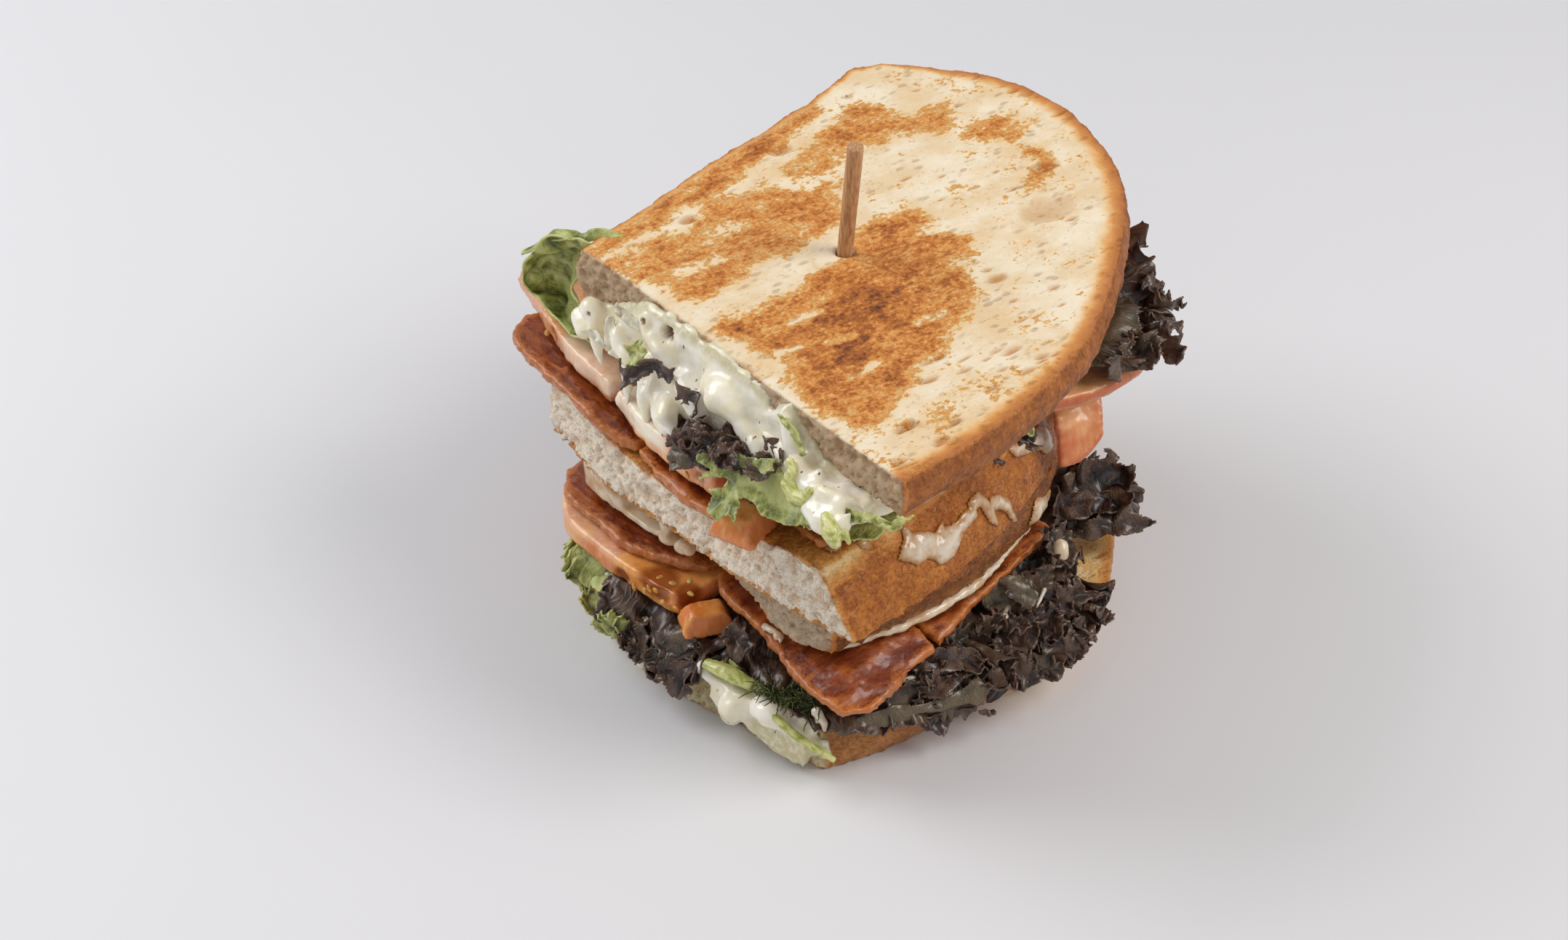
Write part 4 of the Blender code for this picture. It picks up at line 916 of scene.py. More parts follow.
# the ridge colour of each leaf is a painted highlight and the hollow colour a painted shade; the pale
# colour is partly the leaf's own and partly painted sheen
greenLeaf = leafMaterial("greenLettuce", {
    "stops": [(0.0, (76, 84, 26)), (0.3, (116, 122, 46)), (0.6, (156, 160, 78)), (1.0, (200, 200, 132))],
    "baseTint": (188, 190, 120), "veins": 16.0, "veinAmount": 0.45,
    "veinTint": (176, 190, 126), "rimTint": (150, 166, 96), "rough": 0.34, "coat": 0.3, "creases": 0.5,
    "paleAndSheenTint": (176, 180, 112), "ridgeHighlightTint": (206, 210, 136), "ridgeHighlightAmount": 0.75,
    "hollowShadeTint": (42, 50, 14), "hollowShadeAmount": 0.85})
redLeaf = leafMaterial("redLettuce", {
    "stops": [(0.0, (28, 12, 11)), (0.4, (50, 27, 23)), (0.7, (74, 48, 38)), (1.0, (102, 78, 60))],
    "baseTint": (82, 60, 48), "veins": 18.0, "veinAmount": 0.25,
    "veinTint": (122, 108, 84), "rimTint": (36, 17, 15), "rough": 0.28, "coat": 0.6, "creases": 0.65,
    "paleAndSheenTint": (106, 94, 68), "ridgeHighlightTint": (110, 86, 68), "ridgeHighlightAmount": 0.55,
    "hollowShadeTint": (16, 7, 7), "hollowShadeAmount": 0.8})


herbLeaf = leafMaterial("herbs", {
    "stops": [(0.0, (30, 40, 12)), (0.4, (52, 66, 22)), (0.7, (84, 100, 40)), (1.0, (120, 134, 64))],
    "baseTint": (84, 96, 44), "veins": 1.0, "veinAmount": 0.0,
    "veinTint": (120, 130, 80), "rimTint": (60, 70, 30), "rough": 0.36, "coat": 0.3, "creases": 0.3,
    "paleAndSheenTint": (120, 130, 80), "ridgeHighlightTint": (84, 96, 44), "ridgeHighlightAmount": 0.0,
    "hollowShadeTint": (30, 40, 12), "hollowShadeAmount": 0.0})


def curveAt(places, shares):               # a smooth curve through the places, at shares of its length
    places = np.array(places, float)
    stops = np.concatenate([[0], np.cumsum(np.linalg.norm(np.diff(places, axis=0), axis=1))])
    slopes = np.array([
        (places[b] - places[a]) / (stops[b] - stops[a])
        for a, b in ((max(i - 1, 0), min(i + 1, len(places) - 1)) for i in range(len(places)))])
    s = np.asarray(shares) * stops[-1]
    i = np.clip(np.searchsorted(stops, s, side="right") - 1, 0, len(places) - 2)
    span = (stops[i + 1] - stops[i])[:, None]
    h = ((s - stops[i]) / span[:, 0])[:, None]
    return (places[i] * (1 + 2 * h) * (1 - h) ** 2 + slopes[i] * span * h * (1 - h) ** 2
            + places[i + 1] * h * h * (3 - 2 * h) + slopes[i + 1] * span * h * h * (h - 1))


def unit(field):
    return field / np.maximum(np.linalg.norm(field, axis=-1, keepdims=True), 1e-9)


def crumpled(points, steps):               # pushes points about in all directions: (size, reach, seed)
    moved = points.copy()
    for size, reach, seed in steps:
        moved += reach * np.array([noise.noise_vector(Vector(p)) for p in points / size + seed])
    return moved


def gridOf(shape, columns, rows):          # a flat grid, and the row and column of each of its points
    made = bmesh.ops.create_grid(shape, x_segments=columns, y_segments=rows, size=0.5)["verts"]
    rowOf = [round((vert.co.y + 0.5) * rows) for vert in made]
    return made, rowOf, [round((vert.co.x + 0.5) * columns) for vert in made]


def patchedSheet(shape, own):
    # edges run round the leaf: free front edge left to right, right side, back, left side
    front, right, back, left = own["edges"]
    columns, rows = own["cells"]
    u = np.linspace(0, 1, columns + 1)
    v = np.linspace(0, 1, rows + 1) ** 1.35
    fade = ((1 - v) ** 3.0)[:, None, None]
    near = curveAt(front + right[:1], u)[None]
    far = curveAt((back + left[:1])[::-1], u)[None]
    side = curveAt(right + back[:1], v)[:, None]
    edge = curveAt((left + front[:1])[::-1], v)[:, None]
    uu, vv = np.meshgrid(u, v)
    w = uu[..., None]
    corners = (near[:, :1] * (1 - w) + near[:, -1:] * w) * fade
    corners = corners + (far[:, :1] * (1 - w) + far[:, -1:] * w) * (1 - fade)
    surface = near * fade + far * (1 - fade) + edge * (1 - w) + side * w - corners
    along = unit(np.gradient(surface, axis=1))
    inward = unit(np.gradient(surface, axis=0))
    normal = unit(np.cross(along, inward))
    seed = own["seed"]
    drift = np.array([[noise.noise(Vector((3.2 * a + seed, 2.2 * b, seed))) for a in u] for b in v])
    strength = np.array([1 + 0.9 * noise.noise(Vector((6 * a, seed + 4, 0))) for a in u])[None]
    for count, height, reach in own["ruffles"]:
        weight = height * strength * np.clip(1 - vv / reach, 0, 1) ** 1.2
        phase = 2 * np.pi * (count * (uu + 0.22 * drift) + 0.4 * vv * count ** 0.5 + seed)
        surface = surface + normal * (weight * np.sin(phase))[..., None]
        surface = surface + along * (0.6 * weight * np.sin(2 * phase + 1.0))[..., None]
    teeth = np.abs([noise.noise(Vector((own["teeth"] * a, seed + 9, 0))) for a in u])
    nicks = np.array([noise.noise(Vector((2.7 * own["teeth"] * a, seed, 0))) for a in u])
    teeth = teeth + 0.5 * nicks
    reachOut = own["fringe"] * teeth[None] * np.clip(1 - vv / 0.2, 0, 1) ** 1.5
    surface = surface - inward * reachOut[..., None]
    made, rowOf, columnOf = gridOf(shape, columns, rows)
    return made, surface[rowOf, columnOf], vv[rowOf, columnOf], uu[rowOf, columnOf] + seed


def railedSheet(shape, own):               # a sheet through three rails: margin, hollow and far side
    columns, rows = own["cells"]
    u, v = np.linspace(0, 1, columns + 1), np.linspace(0, 1, rows + 1)
    first, second, third = [curveAt(rail, u)[None] for rail in own["rails"]]
    w = v[:, None, None]
    surface = (first * 2 * (w - 0.5) * (w - 1) - second * 4 * w * (w - 1) + third * 2 * w * (w - 0.5))
    made, rowOf, columnOf = gridOf(shape, columns, rows)
    return made, surface[rowOf, columnOf], v[rowOf], u[columnOf] + own["seed"]


def cutSheet(shape, own):
    # a leaf cut to an outline drawn in its own plane, then bent, curled at the margin and ruffled
    drawn = np.reshape(own["outline"], (-1, 2)).astype(float)
    turn = np.sign(np.sum(drawn[:, 0] * np.roll(drawn[:, 1], -1) - np.roll(drawn[:, 0], -1) * drawn[:, 1]))
    picker = random.Random(own["seed"])
    outline = []
    for a, b in zip(drawn, np.roll(drawn, -1, axis=0)):
        run = b - a
        length = np.linalg.norm(run)
        steps = max(int(length / own["tooth"][0]), 1)
        out = np.array([run[1], -run[0]]) / max(length, 1e-6) * turn
        for k in range(steps):
            push = picker.uniform(-0.4, 1.0) * own["tooth"][1] if k else 0.0
            outline.append(a + run * k / steps + out * push)
    outline = np.array(outline)
    cell = own["cell"]
    low, high = outline.min(0) - cell, outline.max(0) + cell
    columns, rows = [int(c) for c in np.ceil((high - low) / cell)]
    made = bmesh.ops.create_grid(shape, x_segments=columns, y_segments=rows, size=0.5)["verts"]
    places = np.array([[vert.co.x + 0.5, vert.co.y + 0.5] for vert in made]) * (high - low) + low
    reach, nearest, walked = reachInside(places, outline)
    keep = reach > -0.45 * cell
    bmesh.ops.delete(shape, geom=[vert for vert, kept in zip(made, keep) if not kept], context="VERTS")
    made = [vert for vert, kept in zip(made, keep) if kept]
    places, reach, nearest, walked = places[keep], reach[keep], nearest[keep], walked[keep]
    snap = reach < 0.5 * cell
    places[snap] = nearest[snap]
    reach = np.clip(reach, 0, None)
    facing = unit(np.array(own["facing"], float))
    across = unit(np.cross((0, 0, 1), facing))
    rise = np.cross(facing, across)
    middle = (low + high) / 2
    scaled = (places - middle) / ((high - low) / 2)
    bendA, bendB, curl = own["bend"]
    depth = bendA * scaled[:, 0] ** 2 + bendB * scaled[:, 1] ** 2
    edgeShare = np.exp(-reach / own["curlReach"])
    depth = depth + curl * edgeShare
    for wave, height in own["waves"]:
        lilt = np.array([noise.noise(Vector((w / wave, own["seed"], 3.0))) for w in walked])
        depth = depth + height * edgeShare * np.sin(2 * np.pi * walked / wave + 4 * lilt)
    surface = (np.array(own["anchor"], float) + places[:, :1] * across + places[:, 1:] * rise
               + depth[:, None] * facing)
    return made, surface, np.clip(reach / own["span"], 0, 1), places[:, 0] / 16 + own["seed"]


def drapedOn(own, surface, inward):        # lays a film on another piece, along the way it faces
    mesh = own["carrier"].data
    tree = BVHTree.FromPolygons([v.co for v in mesh.vertices], [f.vertices for f in mesh.polygons])
    facing = Vector(own["facing"]).normalized()
    laid = surface.copy()
    for i, (place, depth) in enumerate(zip(surface, inward)):
        start = (Vector(place) - Vector(planOrigin)) * mm + facing * 0.04
        hit, normal, _, _ = tree.ray_cast(start, -facing)
        if hit:
            lift = 0.1 + own["swell"] * depth ** 0.6 * (1 + 0.6 * noise.noise(Vector(place) / 2.4))
            laid[i] = np.array(hit + normal * lift * mm) / mm + planOrigin
    return laid


def flap(anchor, facing, outline, **own):  # one lobe; the outline is x,y pairs in its own plane
    return {"anchor": anchor, "facing": facing, "outline": outline, **own}


def frills(line, count, size, seed):       # small curled lobes along a leaf's torn edge
    picker = random.Random(seed)
    lobe = np.array([(-1, -0.3), (-1.15, 0.3), (-0.8, 0.6), (-0.85, 1.1), (-0.35, 0.9), (-0.1, 1.35),
                     (0.2, 0.9), (0.6, 1.15), (0.65, 0.7), (1.1, 0.6), (0.95, -0.1), (0.4, -0.6),
                     (-0.4, -0.55)])
    spots = curveAt(line, [(k + picker.random()) / count for k in range(count)])
    ahead = unit(np.gradient(spots, axis=0))
    sheets = []
    for k, (spot, way) in enumerate(zip(spots, ahead)):
        out = np.array([way[1], -way[0], 0.0])
        facing = 0.6 * out + np.array([0, 0, 0.6])
        facing = facing + np.array([picker.uniform(-0.7, 0.7) for _ in range(3)])
        angle, reach = picker.uniform(-0.9, 0.9), size * picker.uniform(0.6, 1.25)
        turn = np.array([[math.cos(angle), -math.sin(angle)], [math.sin(angle), math.cos(angle)]])
        anchor = spot + np.array([picker.uniform(-1, 1) for _ in range(3)]) * 0.25 * size
        bend = (picker.uniform(-1, 1) * 0.55 * reach, picker.uniform(-1, 1) * 0.5 * reach, 0.8)
        sheets.append(flap(anchor, facing, lobe @ turn.T * reach, seed=seed + 1.7 * k, tooth=(0.9, 0.55),
                           crumple=[(5.0, 1.2), (2.0, 0.25)], bend=bend, waves=[(4.2, 1.0), (1.8, 0.3)],
                           curlReach=1.4, span=2.4, cell=0.42, pale=picker.choice([0, 0, 0, 0.25])))
    return sheets


def makeSheets(name, look, material, slot, *replaced):
    shape = bmesh.new()
    tag = shape.verts.layers.float_vector.new("leaf")      # inward, across, pale colour and painted sheen
    for sheet in look["sheets"]:
        own = {**look, **sheet}
        maker = patchedSheet if "edges" in own else railedSheet if "rails" in own else cutSheet
        made, surface, inward, across = maker(shape, own)
        surface = crumpled(surface, [(s, r, own["seed"] + k) for k, (s, r) in enumerate(own["crumple"])])
        if "carrier" in own:
            surface = drapedOn(own, surface, inward)
        for vert, place, i, a in zip(made, (surface - planOrigin) * mm, inward, across):
            vert.co = place
            vert[tag] = (i, a, own.get("pale", 0.0))
    piece = newPiece(name, shape)
    thick = piece.modifiers.new("thickness", "SOLIDIFY")
    thick.thickness = look["thickness"] * mm
    thick.offset = 0.0
    applyAll(piece)
    tags = np.empty(len(piece.data.vertices) * 3)
    piece.data.attributes["leaf"].data.foreach_get("vector", tags)
    for k, mark in enumerate(("inward", "across", "pale")):
        paint(piece, mark, tags.reshape(-1, 3)[:, k])
    piece.data.attributes.remove(piece.data.attributes["leaf"])
    # ridges and hollows of the sheet, for the painted highlight and shade
    paint(piece, "ridge", np.clip(0.5 + look["ridgeGain"] * ridges(piece, 30), 0, 1))
    settle(piece, material, slot, *replaced)
    print("leaf", name, len(piece.data.vertices))


leafBasics = {"cell": 0.4, "tooth": (1.3, 0.5), "bend": (0.0, 0.0, 0.0), "curlReach": 2.0, "span": 6.0,
              "waves": [(5.0, 0.5)], "thickness": 0.36, "crumple": [(7.0, 1.2), (2.6, 0.45)],
              "fringe": 2.0, "teeth": 30, "cells": (220, 50), "ruffles": [], "ridgeGain": 1.2}


# the leaf that curls up beside the top slice's left corner, a hollow cup with a pale rib
makeSheets("upperGreenLeaf", {**leafBasics, "seed": 1.3, "thickness": 0.5,
    "crumple": [(6.5, 1.4), (4.4, 1.7)], "sheets": [
    {"cells": (150, 60), "rails": (
        [(2, 8, 86), (-4, 4, 87.5), (-8, 1, 87), (-12, -3, 84.5), (-15, -5, 80), (-16, -5.5, 76),
         (-14.5, -4.5, 72.5), (-10, -4, 70.6), (-4, -4, 69.4), (2, -4.5, 68.6), (8, -4, 68.2)],
        [(2, 9, 83), (-3, 6, 82), (-8, 4, 80), (-11, 2, 78), (-12, 1, 75), (-11.5, 0.5, 72),
         (-9, 0.5, 70), (-6, 0, 68.8), (-2, -1, 68.2), (3, -2, 68.0), (8, -2, 67.9)],
        [(1, 7, 85), (-3, 5, 83.5), (-4, 3, 81), (-4, 2, 79), (-3.5, 1, 77), (-2.5, 0, 75),
         (-1, -0.5, 73.5), (0.5, -0.8, 72), (2.5, -1, 71), (5, -1, 70.5), (9, -1, 70)])},
    {"seed": 1.9, "cells": (70, 50), "crumple": [(5.0, 1.1), (2.2, 0.4)], "rails": (
        [(-16, -4, 80), (-13, -2.5, 83), (-9, 0.5, 85), (-5, 3, 86.5), (0, 7, 87)],
        [(-15, -1, 82.5), (-12, 1, 85), (-8, 4, 86.5), (-3, 7, 88.5), (2, 10, 88.5)],
        [(-12, 2, 82), (-9, 4, 84), (-6, 7, 85.5), (-1, 10, 87), (4, 12, 87.2)])},
]}, greenLeaf, "green_leaf", "upper_green_leaf")

# the dark frill that bulges out under the dressing
makeSheets("upperRedLeaf", {**leafBasics, "seed": 2.1, "crumple": [(7.0, 2.0), (3.0, 0.8)], "sheets": [
    {"cells": (240, 50), "ruffles": [(5, 1.6, 0.6), (12, 1.0, 0.3)], "edges": (
        [(20, -1, 68), (28, -2, 67.8), (36, -4, 67.6), (43, -8, 67), (49, -11.4, 66.4), (56, -11, 67.6),
         (64, -9.5, 69)], [(74, -7, 67), (75, 0, 68.4)], [(76, 12, 69), (50, 12, 68)],
        [(20, 12, 68.2), (20, -1, 68)])},
    flap((58, -9, 73), (0.2, -0.8, 0.55), [
        -6.6,4.1, -4.2,4.2, -2.2,3.8, -0.1,3.4, 1.8,3.3, 4.2,4.4, 6.0,4.5, 9.1,6.1, 12.6,6.7, 15.6,6.2,
        18.4,4.9, 18.4,3.7, 17.1,2.4, 19.2,0.1, 19.1,-2.4, 16.3,-2.3, 11.9,-0.8, 8.8,0, 6.5,-1.3,
        4.1,-2.3, 0.4,-2.5, -1.8,-1.8, -3.2,-0.7, -4.6,1.6], seed=12.3, bend=(-1.0, -1.5, 0.8),
         waves=[(6.0, 1.3), (2.4, 0.5)]),
    flap((57, -8, 71), (0.5, -0.6, 0.6), [
        -8,3, -4,5, 0,4, 5,5.5, 11,6, 16,5, 17,1, 14,-2, 8,-1.5, 3,-3.5, -3,-4, -7,-2], seed=13.1,
         bend=(1.0, 2.0, 0.0), waves=[(5.0, 1.2)]),
    flap((50, -9, 68), (0.4, -0.7, 0.5), [
        3.2,1.5, 4.2,2.9, 6.5,3.7, 9.4,3.2, 10.8,2.4, 10.3,0.7, 8.4,-1.7, 5,-1.3, 3.3,-0.1], seed=14.7,
         pale=0.5, bend=(-1.0, 0.5, 1.0), waves=[(4.0, 0.6)]),
    flap((60, -8.5, 74), (0.1, -0.8, 0.6), [
        4.7,2.1, 7.1,1.5, 9.3,2.2, 10.8,4.1, 11.8,3.3, 10.7,1.6, 9.9,0.3, 13.6,-0.8, 16.5,-1.5, 15.5,-2.4,
        11,-1.6, 8.2,-0.4, 5.8,0.1, 4.5,1.2], seed=15.9, pale=0.25, crumple=[(4.0, 0.6)]),
    flap((46, -12, 66), (0.3, -0.8, 0.5), [
        -0.2,4.5, 0.7,5.2, 2.3,6, 4.2,5.5, 5.4,3.8, 6.3,1.3, 7.8,0.2, 6.3,-1.5, 4.8,-2.6, 2,-3.7,
        0.4,-2.2, -0.2,0, -0.2,2.1], seed=16.3, pale=0.75, crumple=[(4.0, 0.5), (1.6, 0.25)],
         bend=(-1.2, 0.3, 0.6)),
    flap((28, -7.6, 73.6), (0.1, -0.9, 0.4), [
        -5.5,1.3, -3.3,1.4, 1.1,3, 3.8,4.6, 5.9,6.4, 8.9,7.1, 11,7.4, 10.5,6, 11.3,5.1, 10.2,3.7, 8.2,3.2,
        7.5,2.1, 5.7,2.5, 3.8,0.4, 1.7,-1.4, -0.3,-2.1, -1.3,-1.7, -0.6,0.1, -2.6,0.9], seed=17.2,
         bend=(0, 1.5, 0.5)),
    *frills([(50, -10.5, 70), (56, -10.2, 72), (62, -9.6, 73.6), (68, -8.8, 74.6),
             (74, -8, 75)], 7, 3.8, 51),
    flap((44, -9.8, 72), (0.2, -0.8, 0.5), [
        -1,8.5, 0.3,7.5, 2,8, 3.6,7.6, 4.4,6.1, 4.8,4.6, 5.3,2.7, 3.9,3, 1.8,3.5, 0.5,3.8, 1.3,4.9,
        -0.2,4.9, -1.3,4.7, 0.1,6.1, -0.1,7.2], seed=18.8, pale=0.4, bend=(1.0, 0, 0.5)),
]}, redLeaf, "red_leaf", "upper_red_leaf")

# the lobed leaf in front of it
makeSheets("upperFrillyLeaf", {**leafBasics, "seed": 3.7, "cell": 0.36, "crumple": [(9.0, 1.4)],
    "ridgeGain": 0.8, "sheets": [
    flap((71, -15.9, 67.5), (0, -0.7, 0.7), [
        -15.1,4.5, -12.3,7.3, -9.2,9.2, -3.8,11.4, 2.3,13.9, 7.7,15.2, 13.7,14.2, 20.1,13.4, 24.9,14.5,
        28,15.4, 31.3,16.9, 34.9,17.2, 36.9,20.1, 38.1,21.7, 37.9,18.9, 36.5,16, 33.5,15.5, 30.4,14.6,
        27,12, 21.2,8.1, 18.2,6.2, 15.7,5.1, 12.2,4.4, 9.5,3.5, 7.8,2.8, 6.3,2.8, 5.1,3.9, 3.7,4.4,
        2.2,4.4, 1.1,4.3, 0.5,3.3, 1.2,1.6, 2.4,0.1, 2.8,-1.5, 0.8,-0.8, -0.5,-1.4, -1.6,-2.2, -2.5,-3.3,
        -4.1,-3.2, -5.9,-2.9, -6.8,-1.2, -6.7,-0.2, -7.9,0.2, -6.9,1, -5.5,2.3, -4.4,3.8, -4.7,4.8,
        -6.2,4.4, -7.6,3.3, -9.7,1.5, -10.9,0.1, -10.3,1.5, -10.1,3.3, -9.6,4.2, -11.9,4, -13.7,4],
         bend=(0, -1.0, 0.0), tooth=(1.1, 0.35), waves=[(5.0, 0.6), (2.0, 0.25)], curlReach=1.6,
         span=4.0),
    {"seed": 21.0, "cells": (160, 30), "ruffles": [(4, 0.8, 0.6), (9, 0.4, 0.25)], "edges": (
        [(48, 0, 66.4), (56, -2, 65.6), (64, -3.5, 65.5), (71, -4.5, 65.5), (77, -6, 65.4),
         (84, -5.5, 65.8), (91, -4, 67.4)], [(98, 2, 69.6), (96, 7, 68.8)],
        [(90, 14, 68.4), (70, 12, 66.9)], [(48, 10, 65.9), (47, 2, 65.9)])},
]}, greenLeaf, "green_leaf", "upper_frilly_leaf")

makeSheets("upperRedLeafRight", {**leafBasics, "seed": 4.9, "crumple": [(8.0, 2.2), (3.2, 0.8)],
    "sheets": [
    {"cells": (190, 50), "ruffles": [(4, 1.8, 0.6), (9, 1.0, 0.3)], "edges": (
        [(87, 75, 70), (89.5, 84, 68), (86, 92, 68), (81, 99, 69.5), (73, 103, 73)],
        [(62, 110, 79), (60, 105, 74)], [(54, 96, 70.4), (62, 84, 70.4)],
        [(72, 70, 70.4), (80, 73, 70.2)])},
    {"seed": 22.0, "cells": (120, 36), "pale": 0.6, "ruffles": [(3, 1.0, 0.6)],
     "crumple": [(8.0, 1.4), (3.0, 0.5)], "edges": (
        [(87, 73, 71.5), (88, 78, 72.5), (86, 86, 73), (80, 92, 73.6)], [(74, 94, 74), (72, 92, 73)],
        [(66, 88, 72), (70, 80, 72)], [(76, 72, 72), (82, 71, 71.6)])},
    *frills([(87, 76, 70), (89, 84, 69), (86, 92, 69), (81, 98, 71), (74, 102, 74)], 7, 4.4, 53),
]}, redLeaf, "red_leaf", "upper_red_leaf_right")

makeSheets("lowerGreenLeaf", {**leafBasics, "seed": 5.5, "crumple": [(7.0, 1.6), (2.8, 0.6)], "sheets": [
    {"cells": (150, 44), "ruffles": [(4, 1.2, 0.6), (9, 0.6, 0.3)], "edges": (
        [(5, -12.5, 16), (11, -14.8, 12), (17, -14.6, 9), (24, -15.6, 8)],
        [(32, -16.6, 9.5), (32, -16.2, 13.5), (32, -13, 15.3)], [(32, 8, 15.3), (18, 10, 15.3)],
        [(4, 12, 15.3), (4, -9, 15.4)])},
    flap((5, -11, 17), (0.2, -0.7, 0.7), [
        1.7,-3.4, 3.2,-1.6, 5.8,-0.2, 9.2,-0.4, 13.2,-1.7, 17.6,-3.2, 16.6,-4, 13.5,-5.3, 13.7,-7.6,
        12.1,-9.1, 10.6,-8.9, 8,-7.4, 5.9,-7, 3.5,-5.1], seed=23.0, bend=(-1, -1.5, 0.6)),
    flap((21, -15.5, 10), (0.1, -0.9, 0.45), [
        5.7,-0.7, 6.7,1.5, 8.2,2.9, 10.8,3.2, 13.5,2.9, 15.1,2.9, 16.3,3.9, 15.4,1, 16.6,-0.5, 17.1,-1.7,
        14.8,-1.4, 11.1,-1.3, 8.4,-1.4], seed=24.0, bend=(-0.5, 1, 0.8)),
    *frills([(25, -17.6, 14.5), (31, -18.8, 13), (37, -18.9, 11.5)], 3, 5.0, 71),
]}, greenLeaf, "green_leaf", "lower_green_leaf")

makeSheets("lowerRedLeaf", {**leafBasics, "seed": 6.2, "crumple": [(7.0, 2.0), (3.0, 0.7)], "sheets": [
    {"cells": (200, 50), "ruffles": [(4, 1.6, 0.6), (9, 1.0, 0.35)], "edges": (
        [(26, -17, 14.5), (32, -18, 12.5), (37, -17.5, 9.5), (43, -17.5, 7.5), (49, -17, 7), (54, -16, 9)],
        [(59, -15, 12.5), (59, -14, 15.8), (58, -9, 17.0)], [(56, 8, 17.3), (40, 9, 17.4)],
        [(26, 8, 17.4), (26, -14.5, 17.4)])},
    *frills([(26, -17, 15), (34, -18, 13), (42, -18, 10), (50, -17, 9.5), (56, -15.5, 12)], 8, 3.8, 63),
    {"seed": 30.3, "cells": (110, 60), "ruffles": [(3, 1.2, 0.7), (7, 0.7, 0.4)], "edges": (
        [(54, -12, 17), (60, -10.8, 16.2), (66, -9.5, 15.8), (72, -7.5, 16), (78, -5, 16.4)],
        [(78, -1, 16.8), (76, 4, 17)], [(66, 5, 17.2), (58, 3, 17.5)], [(52, -2, 17.6), (52, -9, 17.6)])},
    flap((18, -15.6, 15.5), (0.2, -0.8, 0.55), [
        4.5,-0.7, 6,1.5, 6.5,3.7, 8.7,4.2, 11.5,3, 15.4,1.4, 13.6,0.3, 14.2,-2.3, 12.4,-2.6, 10.2,-3.1,
        8.1,-2.4, 6.3,-1.6], seed=25.0, pale=0.2, bend=(-1, -1, 0.6)),
    flap((33, -18, 11), (0.1, -0.9, 0.4), [
        6.2,3.6, 6.6,5.4, 8.5,7.3, 10.4,7.8, 11.4,5.6, 11.1,3.1, 11.2,1.6, 11.3,-1.2, 9.7,-1.2, 8.2,0.5,
        7.9,2], seed=26.0, bend=(1.5, 0, 0.8)),
    flap((41, -18.6, 14), (0.2, -0.75, 0.6), [
        3.9,2.5, 5.4,4.7, 9.1,6.6, 11.2,6, 13.9,5.1, 14.9,4.7, 15.9,3.6, 13.7,2.3, 12.7,0.7, 11.4,-0.6,
        8.2,-1.6, 7.5,-4.2, 6.2,-3.2, 6.9,-0.6, 5,0.6], seed=27.0, pale=0.15, bend=(-2, -1.5, 1.0)),
    flap((46, -18.2, 8), (0.15, -0.9, 0.4), [
        3.1,1.9, 4.2,4.4, 6.6,6, 9.2,7.2, 11.2,7, 11.4,5.1, 9.9,3.6, 11,2, 12.8,0.9, 10.1,-1.1, 7.4,-1.8,
        5,-0.5, 3.3,0.7], seed=28.0, bend=(1.5, -1, 1.0)),
    flap((61, -12, 18.5), (0.3, -0.6, 0.75), [
        -2,4, -0.7,7.4, 2.1,9.7, 6.1,7, 8.2,5.4, 7.1,2.8, 4.3,0.5, 1.3,2.7], seed=29.0, pale=0.0,
         bend=(-1, -2, 0.8), crumple=[(5.0, 1.8), (2.2, 0.8)]),
]}, redLeaf, "red_leaf", "lower_red_leaf")

